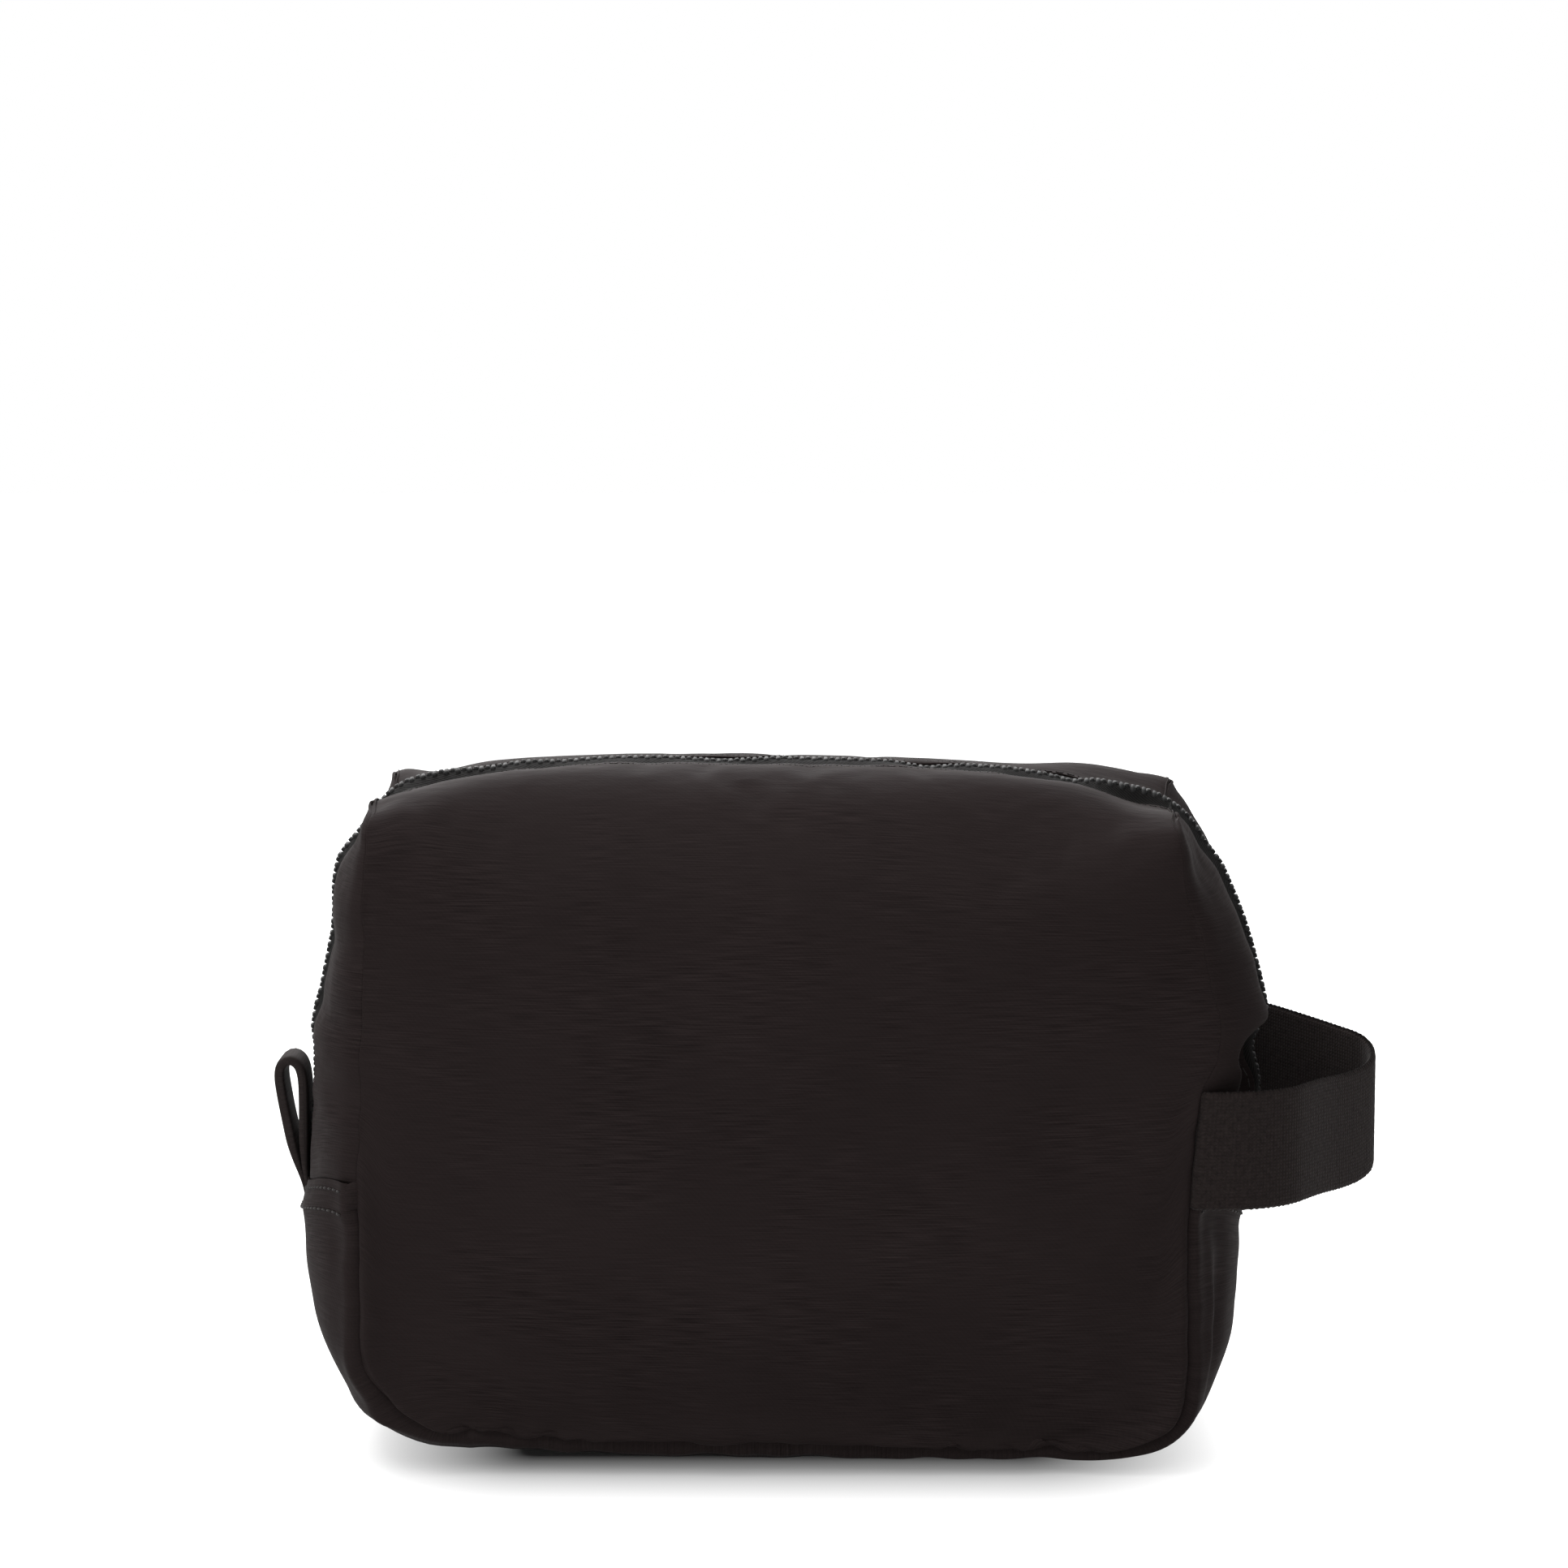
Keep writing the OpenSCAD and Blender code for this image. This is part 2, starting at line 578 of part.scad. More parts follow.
// Pieces of the front half of the mouth
module front_panel_upper() { color(black_nylon) panel_upper(0, shell_t, 0); }
module left_front_strip() { color(black_nylon) strip_upper(-1); }
module right_front_strip() { color(black_nylon) strip_upper(1); }
module front_zip_tape() { color(black_tape) tape(zip_line, 1); }
module front_zip_teeth() { color(black_plastic) upper_teeth(0); }
module lining_front_upper() { color(grey_lining) panel_upper(lining_back, lining_t, lining_inset); }

// Pieces of the back half of the mouth
module back_panel_upper() { to_back() front_panel_upper(); }
module left_back_strip() { to_back() left_front_strip(); }
module right_back_strip() { to_back() right_front_strip(); }
module back_zip_tape() { to_back() front_zip_tape(); }
module back_zip_teeth() { color(black_plastic) to_back() upper_teeth(0.5); }
module lining_back_upper() { to_back() lining_front_upper(); }

gusset_band();
front_panel_lower();
back_panel_lower();
left_front_strip_lower();
left_back_strip_lower();
right_front_strip_lower();
right_back_strip_lower();
left_zip_end_tapes();
right_zip_end_tapes();
left_zip_end_teeth();
right_zip_end_teeth();
zip_bottom_stop();
zip_top_stops();
lining_gusset();
lining_front_lower();
lining_back_lower();
handle_root_front();
handle_root_back();
front_panel_upper();
left_front_strip();
right_front_strip();
front_zip_tape();
front_zip_teeth();
lining_front_upper();
back_panel_upper();
left_back_strip();
right_back_strip();
back_zip_tape();
back_zip_teeth();
lining_back_upper();
slider_body();
puller();
handle_loop();
end_tab();
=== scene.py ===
import math

import bmesh
import bpy
import numpy as np
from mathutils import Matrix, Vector


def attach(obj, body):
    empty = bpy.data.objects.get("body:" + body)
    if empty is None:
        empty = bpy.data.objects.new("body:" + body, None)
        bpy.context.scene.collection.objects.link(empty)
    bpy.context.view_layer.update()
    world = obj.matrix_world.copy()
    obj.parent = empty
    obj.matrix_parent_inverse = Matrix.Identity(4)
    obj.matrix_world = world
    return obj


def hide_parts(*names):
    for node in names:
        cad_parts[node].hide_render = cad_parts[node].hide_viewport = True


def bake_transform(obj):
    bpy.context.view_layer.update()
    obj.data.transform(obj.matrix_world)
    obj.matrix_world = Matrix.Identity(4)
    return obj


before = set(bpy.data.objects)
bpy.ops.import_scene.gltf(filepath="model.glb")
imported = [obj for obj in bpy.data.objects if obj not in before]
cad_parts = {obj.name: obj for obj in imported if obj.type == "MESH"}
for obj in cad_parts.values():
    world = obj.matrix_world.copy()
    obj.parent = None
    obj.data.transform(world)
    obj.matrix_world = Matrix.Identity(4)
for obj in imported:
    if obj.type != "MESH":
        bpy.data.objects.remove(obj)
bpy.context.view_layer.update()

# Studio. A white sweep, a broad softbox behind and above the bag, one overhead, and weaker ones at the left,
# in front and low in front. The camera stands a metre in front, a little above the bag, with a long lens.
MM = 0.001
scene = bpy.context.scene
scene.view_settings.view_transform = "Standard"


def aim(thing, place, target):
    """Puts a lamp or the camera at a place, in millimetres, and turns it to a target."""
    thing.location = Vector(place) * MM
    thing.rotation_euler = (Vector(target) * MM - thing.location).to_track_quat("-Z", "Y").to_euler()
    scene.collection.objects.link(thing)
    return thing


PHOTO_PX = 1932
FOCAL_PX = 4700
camera = bpy.data.objects.new("camera", bpy.data.cameras.new("camera"))
camera.data.sensor_width = 36
camera.data.lens = FOCAL_PX / PHOTO_PX * camera.data.sensor_width
camera.data.clip_start = 0.02
scene.camera = aim(camera, (1.75, -1022.7, 287.0), (1.75, -48.7, 181.8))


def softbox(name, place, size, watts):
    lamp = bpy.data.lights.new(name, "AREA")
    lamp.shape = "RECTANGLE"
    lamp.size, lamp.size_y = size
    lamp.energy = watts
    return aim(bpy.data.objects.new(name, lamp), place, (0, 0, 90))


softbox("light_back", (-300, 1300, 900), (1.5, 1.0), 27.5)
softbox("light_top", (-430, 0, 1450), (1.4, 1.0), 20.5)
softbox("light_left", (-1250, -150, 900), (0.8, 1.0), 3.6)
softbox("light_front", (-130, -1100, 1400), (1.6, 0.8), 7.8)
softbox("light_low", (-130, -1500, 150), (1.4, 0.4), 5.4)


class Wire:
    """A socket of a material's node tree, for shader maths written as Python."""

    def __init__(self, socket):
        self.socket = socket
        self.tree = socket.id_data

    def node(self, kind, settings=None, out=0, **values):
        """Adds a node: its settings first, then its sockets by name or i and number, values or wires."""
        new = self.tree.nodes.new(kind)
        for key, value in (settings or {}).items():
            setattr(new, key, value)
        for key, value in values.items():
            number = key[0] == "i" and key[1:].isdigit()
            target = new.inputs[int(key[1:]) if number else key.replace("_", " ")]
            if isinstance(value, Wire):
                self.tree.links.new(value.socket, target)
            else:
                target.default_value = value
        return Wire(new.outputs[out])

    def maths(self, operation, *others):
        values = {f"i{k}": v for k, v in enumerate((self,) + others)}
        return self.node("ShaderNodeMath", {"operation": operation}, **values)

    def vector(self, operation, *others):
        values = {f"i{k}": v for k, v in enumerate((self,) + others)}
        return self.node("ShaderNodeVectorMath", {"operation": operation}, **values)

    def scaled(self, x, y, z=1.0):
        return self.vector("MULTIPLY", (x, y, z))

    def noise(self, scale, detail=2.0, roughness=0.5):
        return self.node("ShaderNodeTexNoise", {"noise_dimensions": "2D"}, Vector=self, Scale=scale,
                         Detail=detail, Roughness=roughness)

    def spread(self, low, high, new_low, new_high):
        """This value with the range from low to high spread, and held, between two new ends."""
        return self.node("ShaderNodeMapRange", Value=self, From_Min=low, From_Max=high, To_Min=new_low,
                         To_Max=new_high)

    def bands(self, direction, scale, **values):
        return self.node("ShaderNodeTexWave", {"bands_direction": direction}, Vector=self, Scale=scale,
                         **values)

    def tinted(self, colour):
        """A colour times this grey."""
        return self.node("ShaderNodeMix", {"data_type": "RGBA", "blend_type": "MULTIPLY"}, out=2, i0=1.0,
                         i6=colour, i7=self)

    def bump(self, strength, distance):
        return self.node("ShaderNodeBump", i0=strength, i1=distance, Height=self)

    def __add__(self, other):
        return self.maths("ADD", other)

    def __mul__(self, other):
        return self.maths("MULTIPLY", other)

    def __sub__(self, other):
        return self.maths("SUBTRACT", other)

    def __rsub__(self, other):
        return self.node("ShaderNodeMath", {"operation": "SUBTRACT"}, i0=other, i1=self)

    __radd__ = __add__
    __rmul__ = __mul__


def new_finish(name, **constants):
    """A material, its shader with the unchanging sockets set, and its cloth coordinates in metres."""
    material = bpy.data.materials.new(name)
    material.use_nodes = True
    shader = material.node_tree.nodes["Principled BSDF"]
    for key, value in constants.items():
        shader.inputs[key.replace("_", " ")].default_value = value
    place = material.node_tree.nodes.new("ShaderNodeUVMap")
    place.uv_map = "cloth"
    return material, shader, Wire(place.outputs[0])


def feed(shader, **wires):
    for key, wire in wires.items():
        wire.tree.links.new(wire.socket, shader.inputs[key.replace("_", " ")])


def seen_white(tree):
    """1 for what the camera sees, straight, in a shine or through something, and 0 for light on the cloth."""
    path = tree.nodes.new("ShaderNodeLightPath")
    kinds = ("Camera", "Glossy", "Transmission")
    straight, shine, through = (Wire(path.outputs[f"Is {kind} Ray"]) for kind in kinds)
    return straight.maths("MAXIMUM", shine).maths("MAXIMUM", through)


# The sweep's near part takes the bag's shadow. Further out it glows to the camera, as a lit backdrop does.
# The glow fades out towards the bag's footprint, so the floor round the bag is darker than the real shadow
# alone makes it: a painted shadow.
floor_mesh = bpy.data.meshes.new("floor")
floor_mesh.from_pydata([(-6, -4, 0), (6, -4, 0), (6, 8, 0), (-6, 8, 0)], [], [(0, 1, 2, 3)])
floor = bpy.data.objects.new("floor", floor_mesh)
scene.collection.objects.link(floor)
SWEEP_WHITE, SEEN_DARKER = 0.86, 0.5
FOOTPRINT, GLOW_START, GLOW_FULL = (0.064, 0.0275, 0), 0.0040, 0.0580
sweep, sweep_shader, sweep_uv = new_finish("sweep", Roughness=0.9, Specular_IOR_Level=0.0,
                                           Emission_Strength=1.0)
floor_place = sweep_uv.node("ShaderNodeNewGeometry")
off_bag = floor_place.vector("ABSOLUTE").vector("SUBTRACT", FOOTPRINT).vector("MAXIMUM", (0, 0, 0))
off_bag = off_bag.node("ShaderNodeVectorMath", {"operation": "LENGTH"}, out=1, i0=off_bag)
# The glow is held off near the bag's footprint: a painted shadow round the bag.
glow_with_painted_shadow = off_bag.spread(GLOW_START, GLOW_FULL, 0.0, 1.0)
seen = seen_white(sweep.node_tree)
feed(sweep_shader, Base_Color=(SWEEP_WHITE - seen * SEEN_DARKER).tinted((1, 1, 1, 1)),
     Emission_Color=(glow_with_painted_shadow * seen).tinted((1, 1, 1, 1)))
floor_mesh.materials.append(sweep)

world = bpy.data.worlds.new("white_room")
scene.world = world
world.use_nodes = True
sky = world.node_tree.nodes["Background"]
sky.inputs["Color"].default_value = (1, 1, 1, 1)
ROOM_LIGHT = 0.13
feed(sky, Strength=seen_white(world.node_tree) * (1 - ROOM_LIGHT) + ROOM_LIGHT)

# Nylon shell: plain-woven crinkle nylon, black, with fine uneven ribs across the panels and a faint sheen.
# The same cloth makes the panels, the side strips, the gusset band and the end tab, whose copy is coloured
# lighter as painted light.
NYLON, NYLON_T = (0.0160, 0.0120, 0.0118, 1), 0.7


def crinkle_nylon(name, colour):
    finish, shader, cloth = new_finish(name, Sheen_Weight=0.004, Sheen_Roughness=0.4,
                                       Specular_IOR_Level=0.015)
    ribs = cloth.scaled(75, 2700).noise(1.0, 1.0)
    threads = cloth.scaled(120, 5200).noise(1.0, 0.0)
    weave = cloth.bands("DIAGONAL", 420.0)
    crinkle = cloth.scaled(70, 110).noise(1.0, 3.0, 0.6)
    patches = cloth.noise(24.0)
    shown = cloth.noise(34.0, 1.5).spread(0.36, 0.64, 0.25, 1.0)
    tone = ((ribs - 0.5) * 0.75 + (threads - 0.5) * 0.7) * shown + weave * 0.06 + patches * 0.3 + 0.83
    feed(shader, Base_Color=tone.tinted(colour), Roughness=0.74 - ribs * 0.16,
         Normal=(ribs * 0.09 + threads * 0.03 + weave * 0.02 + crinkle * 0.8).bump(0.5, 0.0006))
    return finish


nylon = crinkle_nylon("nylon", NYLON)

# Panels. Front and back are each one piece of nylon: seamed to the gusset along the bottom and the lower
# sides and to the side strips above, then curved over the top to the zip. The seams are turned inwards.
PANEL_W, TOP_W = 218.0, 212.0
BAG_H, CROWN_DROP = 184.5, 9.0
SEAM_HALF, PANEL_BULGE, SIDE_BULGE, RIGHT_FLARE, BASE_BULGE = 49.0, 8.0, 18.0, 4.5, 9.0
BASE_RISE, CORNER_R, GUSSET_H, SHOULDER_H = 8.0, 27.0, 68.0, 130.0
BULGE_TOP, SLOT_HALF, SHELL_OUT, ZIP_BEND = 108.4, 8.0, 1.4, 10.0
END_H = BAG_H - CROWN_DROP


def smooth(v):
    v = np.clip(v, 0, 1)
    return v * v * (3 - 2 * v)


def rise(v, start, over):
    """0 up to start, 1 from start plus over on, smooth between."""
    return smooth((v - start) / over)


def fall(v, end, over):
    """1 up to end less over, 0 from end on, smooth between."""
    return smooth((end - v) / over)


def hump(v, middle, width):
    return np.exp(-((v - middle) / width) ** 2)


def unit(v):
    return v / np.maximum(np.linalg.norm(v, axis=-1, keepdims=True), 1e-12)


def half_width(z):
    return (PANEL_W + (TOP_W - PANEL_W) * np.clip((z - GUSSET_H) / (END_H - GUSSET_H), 0, 1)) / 2


def side_swell(z, side):
    """How far the side swells out from the panels' seams, along the zip."""
    flare = RIGHT_FLARE * np.clip((z - GUSSET_H) / (BULGE_TOP - GUSSET_H), 0, 1) if side > 0 else 0
    full = SIDE_BULGE + flare
    upper = full * (1 - np.clip((z - BULGE_TOP) / (END_H - BULGE_TOP), 0, 1) ** 2.5)
    lower = BASE_BULGE + (SIDE_BULGE - BASE_BULGE) * smooth((z - BASE_RISE) / (GUSSET_H - BASE_RISE))
    return np.where(z > GUSSET_H, upper, lower)


def along(points, count):
    """Points at equal steps along a line."""
    steps = np.concatenate([[0], np.cumsum(np.linalg.norm(np.diff(points, axis=0), axis=1))])
    at = np.linspace(0, steps[-1], count)
    return np.column_stack([np.interp(at, steps, points[:, k]) for k in range(points.shape[1])])


def bend(p, q, p_way, q_way):
    """Smooth bend from p to q that leaves and arrives along the given directions."""
    reach = np.linalg.norm(q - p) * 0.36
    a, b = p + p_way * reach, q - q_way * reach
    k = np.linspace(0, 1, 25)[1:-1, None]
    return (1 - k) ** 3 * p + 3 * (1 - k) ** 2 * k * a + 3 * (1 - k) * k ** 2 * b + k ** 3 * q


def zip_side(side):
    z = np.linspace(GUSSET_H - 4, END_H - ZIP_BEND, 80)
    swell = side_swell(np.maximum(z, GUSSET_H + 0.01), side)
    return np.column_stack([side * (half_width(z) + SHELL_OUT + swell), z])


# The zip's line, x and z: up the left side, over the top and down the right side.
over_x = np.linspace(-96, 96, 160)
over = np.column_stack([over_x, BAG_H - CROWN_DROP * np.abs(over_x / (TOP_W / 2)) ** 3.5])
up, down = zip_side(-1), zip_side(1)[::-1]
up_bend = bend(up[-1], over[0], unit(up[-1] - up[-2]), unit(over[1] - over[0]))
down_bend = bend(over[-1], down[0], unit(over[-1] - over[-2]), unit(down[1] - down[0]))
zip_line = np.vstack([up, up_bend, over, down_bend, down])
left_turn = len(up) + len(up_bend) // 2
right_turn = len(up) + len(up_bend) + len(over) + len(down_bend) // 2

# How far the cloth's edge lies below the zip's line: along the top by x, and up the sides by height.
TOP_DROP = ([-106, -96, -84, -69, -40, 60, 80, 89, 98, 106],
            [-1.4, -2.0, -1.6, -0.8, -0.3, -0.2, -0.3, -1.0, -1.4, -0.8])
SIDE_DROP = {-1: ([68, 100, 110, 120, 130, 148, 156, 165, 174],
                  [-0.4, -0.8, -1.9, -1.9, -1.7, -1.7, -1.7, -1.7, -1.4]),
             1: ([68, 100, 112, 150, 165, 174], [-0.4, -0.8, -2.9, -2.9, -2.4, -1.6])}


def panel_depth(u, z):
    return SEAM_HALF + PANEL_BULGE * (1 - np.abs(u) ** 3) * smooth((z - BASE_RISE) / (GUSSET_H - BASE_RISE))


COLS, LOW_ROWS, FACE_ROWS, SHOULDER_ROWS = 97, 14, 42, 40


def shoulder(u, fullness, ear, peaked):
    """Profile of a panel from its upright face over to the zip: rows of depth and height."""
    power = fullness + 4.4 * abs(u) ** 6
    q = np.linspace(0, math.pi / 2, 600)
    run = zip_line[left_turn:right_turn + 1]
    x = np.interp(u, [-1, 1], [run[0, 0], run[-1, 0]])
    top = np.interp(x, run[:, 0], run[:, 1]) + np.interp(x, *TOP_DROP)
    depth = SLOT_HALF + (panel_depth(u, SHOULDER_H) - SLOT_HALF) * np.cos(q).clip(0) ** (2 / power)
    height = SHOULDER_H + (top - SHOULDER_H) * np.sin(q) ** (2 / power)
    height += ear * abs(u) ** peaked * smooth((depth - 10) / 20) * smooth((height - 145) / 25)
    return along(np.column_stack([depth, height]), SHOULDER_ROWS + 1)


def panel_grid(fullness, ear, peaked):
    """Grid of a panel's points as a front one, rows from the bottom seam to the zip."""
    u = np.linspace(-1, 1, COLS)
    u = (u + np.sin(u * math.pi / 2)) / 2
    q = np.linspace(0, math.pi / 2, LOW_ROWS)
    face_z = np.linspace(BASE_RISE + CORNER_R, SHOULDER_H, FACE_ROWS)[1:]
    z = np.concatenate([BASE_RISE + CORNER_R * (1 - np.cos(q)), face_z])
    w = np.concatenate([PANEL_W / 2 - CORNER_R + CORNER_R * np.sin(q), half_width(face_z)])
    x = w[:, None] * u
    y = -panel_depth(x / half_width(z)[:, None], z[:, None])
    face = np.dstack([x, y, np.repeat(z[:, None], COLS, 1)])
    top = np.array([shoulder(k, fullness, ear, peaked)[1:] for k in u])
    top = np.dstack([half_width(top[:, :, 1]) * u[:, None], -top[:, :, 0], top[:, :, 1]]).transpose(1, 0, 2)
    return np.vstack([face, top])


def grid_quads(rows, cols):
    i, j = np.meshgrid(np.arange(rows - 1), np.arange(cols - 1), indexing="ij")
    a = (i * cols + j).ravel()
    return np.column_stack([a, a + 1, a + cols + 1, a + cols])


def grid_normals(grid):
    """Unit normals of a grid of points, out of its front."""
    return unit(np.cross(np.gradient(grid, axis=1), np.gradient(grid, axis=0)))


def settle(grid, ease, pressure, loose, cap):
    """Cloth simulation of a sheet held along its edges: cut larger where ease is 1, filled from behind."""
    TENFOLD, FRAMES = 0.01, 26
    rows, cols, _ = grid.shape
    flat = grid.reshape(-1, 3)
    mesh = bpy.data.meshes.new("cloth")
    mesh.from_pydata((flat * TENFOLD).tolist(), [], grid_quads(rows, cols).tolist())
    obj = bpy.data.objects.new("cloth", mesh)
    scene.collection.objects.link(obj)
    held = np.zeros((rows, cols))
    held[0], held[-1], held[:, 0], held[:, -1] = 1, 1, 1, 1
    for name, weights in (("held", held), ("ease", ease)):
        group = obj.vertex_groups.new(name=name)
        for k in np.flatnonzero(weights.ravel() > 0.001):
            group.add([int(k)], float(weights.ravel()[k]), "REPLACE")
    cloth_modifier = obj.modifiers.new("cloth", "CLOTH")
    cloth_modifier.collision_settings.use_collision = False
    cloth_modifier.point_cache.frame_start, cloth_modifier.point_cache.frame_end = 1, FRAMES
    s = cloth_modifier.settings
    s.quality = 7
    s.mass = 0.25
    s.tension_stiffness = s.compression_stiffness = 18
    s.shear_stiffness = 8
    s.bending_stiffness = 0.6
    s.tension_damping = s.compression_damping = s.shear_damping = 8
    s.bending_damping = 0.5
    s.air_damping = 2
    s.vertex_group_mass = "held"
    s.vertex_group_shrink = "ease"
    s.shrink_min, s.shrink_max = -loose[0], -loose[1]
    s.use_pressure = True
    s.uniform_pressure_force = pressure
    s.effector_weights.gravity = 0
    for step in range(1, FRAMES + 1):
        scene.frame_set(step)
    moved = np.empty(len(flat) * 3, np.float32)
    obj.evaluated_get(bpy.context.evaluated_depsgraph_get()).data.vertices.foreach_get("co", moved)
    shift = moved.reshape(-1, 3) / TENFOLD - flat
    bpy.data.objects.remove(obj)
    bpy.data.meshes.remove(mesh)
    scene.frame_set(1)
    size = np.linalg.norm(shift, axis=1, keepdims=True)
    shift *= cap * np.tanh(size / cap) / np.maximum(size, 1e-9)
    return grid + shift.reshape(grid.shape)


def edge_distance(grid, sides):
    """Distance of each point, along the grid, from the nearest of the named sides."""
    across = np.linalg.norm(np.diff(grid, axis=1), axis=2)
    up_down = np.linalg.norm(np.diff(grid, axis=0), axis=2)
    from_left = np.hstack([np.zeros((len(grid), 1)), np.cumsum(across, axis=1)])
    from_start = np.vstack([np.zeros((1, grid.shape[1])), np.cumsum(up_down, axis=0)])
    each = {"left": from_left, "right": from_left[:, -1:] - from_left, "start": from_start,
            "end": from_start[-1:] - from_start}
    return np.min([each[k] for k in sides], axis=0)


def waves(s, seed, lengths, sizes):
    """Uneven ripple along a length: a few sines of slightly uneven length with fixed random phases."""
    draw = np.random.default_rng(seed)
    return sum(size * np.sin(2 * math.pi * s / (length * draw.uniform(0.85, 1.15)) + draw.uniform(0, 6.3))
               for length, size in zip(lengths, sizes))


def wobble_seam(grid, seed):
    """Unevenness of the sewn lines: the sides, bottom and zip edge of a panel."""
    out = grid.copy()
    run = np.concatenate([[0], np.cumsum(np.linalg.norm(np.diff(grid[:, 0], axis=0), axis=1))])
    for col, k in ((0, 1), (-1, 2)):
        out[:, col, 0] += waves(run, seed + k, (46, 23, 13), (0.3, 0.25, 0.15))
        out[:, col, 1] += waves(run, seed + k + 5, (52, 21, 12), (0.3, 0.25, 0.15))
    for row, k in ((0, 3), (-1, 4)):
        out[row, :, 2] += waves(grid[row, :, 0], seed + k, (70, 27, 14), (0.25, 0.2, 0.15))
        out[row, :, 1] += waves(grid[row, :, 0], seed + k + 5, (60, 24, 12), (0.25, 0.2, 0.15))
    return out


def sit(grid):
    """How this bag sits: small sags and leans that its straight pattern doesn't have, as a smooth shift."""
    x, y, z = grid[..., 0], grid[..., 1], grid[..., 2]
    out = grid.copy()
    # The two sides, and the right end of the front panel, by height.
    left = np.interp(z, [40, 60, 66, 95, 105, 111, 117, 122, 130, 137, 143, 150, 157, 165],
                     [0, -0.3, -1.6, -2.2, -2.0, -1.2, -2.0, -3.2, -3.9, -4.1, -3.1, -0.9, 0.6, 0])
    right = np.interp(z, [30, 45, 60, 74, 108, 116, 123, 130, 137, 144, 150, 157, 163, 170],
                      [0, -1.2, -1.6, 0, 0.2, 1.2, 0.2, -0.6, -1.0, -1.2, -1.2, -0.8, -1.6, -1.0])
    bow = np.interp(z, [8, 28, 45, 70, 85, 97, 101, 105, 109, 121, 132, 140, 147, 155, 170],
                    [0, -1.6, -1.2, -0.9, 0.4, 1.8, 2.6, 4.2, 5.8, 6.4, 5.2, 4.2, 3.2, 0, -1.4])
    out[..., 0] -= left * rise(-x, 92, 26) * fall(np.abs(y), 47, 24)
    # The side seams climb towards the front.
    lift = np.where(x > 0, 0, 2.8) + np.where(x > 0, 11.0, 7.4) * rise(-y, 4, 44)
    out[..., 2] += lift * rise(np.abs(x), 100, 9) * rise(z, 30, 40) * fall(z, 112, 40)
    out[..., 0] += right * rise(x, 92, 26) + bow * rise(x, 55, 52) * rise(-y, 10, 32)
    # The gusset beside the panels' rounded lower corners.
    seam_x = 82 + np.sqrt(np.clip(729 - (35 - np.clip(z, 8.5, 35)) ** 2, 0, None))
    low_left = np.interp(z, [0, 4, 10, 15.5, 21, 27, 33, 44, 55, 66],
                         [6.0, 5.5, 5.0, 1.6, 1.0, 1.7, 2.4, 2.0, 1.4, 0])
    low_right = np.interp(z, [0, 4, 10, 21, 27, 33, 44, 55, 62, 70, 80],
                          [1.0, 0, 0.1, 0.6, 1.2, 1.5, 0.8, -0.6, -1.4, -1.0, 0])
    out[..., 0] += low_right * smooth((x - seam_x) / 9) - low_left * smooth((-x - seam_x) / 9)
    # The top sags to the right, most of all in front, and the back corners stand up.
    back_up = rise(y, 8, 26)
    droop = rise(x, 20, 90) * rise(z, 120, 60)
    out[..., 2] -= droop * (2.4 + 3.6 * rise(-y, 10, 30) - 1.0 * back_up)
    out[..., 0] += 3.2 * back_up * rise(x, 60, 45) * rise(z, 130, 35)
    out[..., 2] += 2.2 * back_up * hump(x, 82, 13) * rise(z, 145, 20)
    out[..., 2] -= 2.3 * hump(x, -106, 7) * rise(-y, 20, 15) * rise(z, 160, 10)
    back_left = 1.4 * hump(x, -105, 5) - 1.4 * hump(x, -91, 8)
    out[..., 2] += back_left * back_up * rise(z, 150, 15)
    # The zip is drawn in at the top left corner and dips along the top.
    tuck = np.exp(-((x + 110) / 8) ** 2 - ((z - 167) / 9) ** 2) * fall(np.abs(y), 32, 18)
    out[..., 0] += 1.9 * tuck
    out[..., 2] -= 1.3 * tuck
    ripple = np.interp(x, [-92, -78, -68, -58, -46, -30, -15, 0, 30, 40, 50, 62, 72, 79, 86, 94],
                       [0, -0.6, 0.2, -0.3, 0.2, 0.2, -0.8, 0.2, 0.1, -1.3, 0.1, 0.5, 0, -0.9, 0.2, 0])
    out[..., 2] += ripple * fall(np.abs(y), 9, 5) * rise(z, 150, 20)
    out[..., 2] -= 1.8 * hump(x, 96, 11) * rise(-y, 1, 5) * rise(y, -34, 20) * rise(z, 140, 15)
    out[..., 0] += 3.8 * back_up * hump(z, 160, 11) * rise(x, 80, 20)
    # The crown of the top, the slack of the base and the lifted front edge.
    crown = np.interp(x, [-104, -90, -75, -55, -30, 0, 30, 60, 80, 92, 104],
                      [0.3, 0.5, -0.1, -0.6, -0.9, -1.2, -1.8, -1.8, -1.3, -0.4, 0.2])
    out[..., 2] += crown * rise(z, 140, 35)
    base = np.interp(x, [-110, -98, -90, -74, -55, 0, 56, 83, 105],
                     [3.0, 4.2, 4.6, 3.6, 2.2, 1.0, -0.3, -0.8, -0.8])
    edge_up = np.interp(x, [-110, -85, -65, -45, -20, 15, 60], [3.6, 2.4, 2.5, 1.2, 0.3, 0.1, 0])
    edge_up = edge_up * rise(-y, 8, 20) * (1 - smooth(z / 10))
    # The hollow behind the webbing loop, and the lower right corner.
    hollow = 11.5 * fall(z, 117, 5) * rise(z, 69, 6) * fall(y, -5, 15)
    hollow = hollow * smooth((y + 40 + 5 * hump(z, 110, 5)) / 9)
    dent = 3.0 * hump(z, 106, 6.5) * fall(np.abs(y), 24, 12)
    out[..., 0] -= (hollow + dent) * rise(x, 104, 8)
    corner = np.exp(-((x - 101) ** 2 + (z - 15) ** 2) / 180)
    out[..., 2] += base * smooth(z / 8) * (1 - rise(z, 12, 45)) - 1.8 * corner * smooth(z / 8) + edge_up
    out[..., 0] += 2.6 * corner
    return out


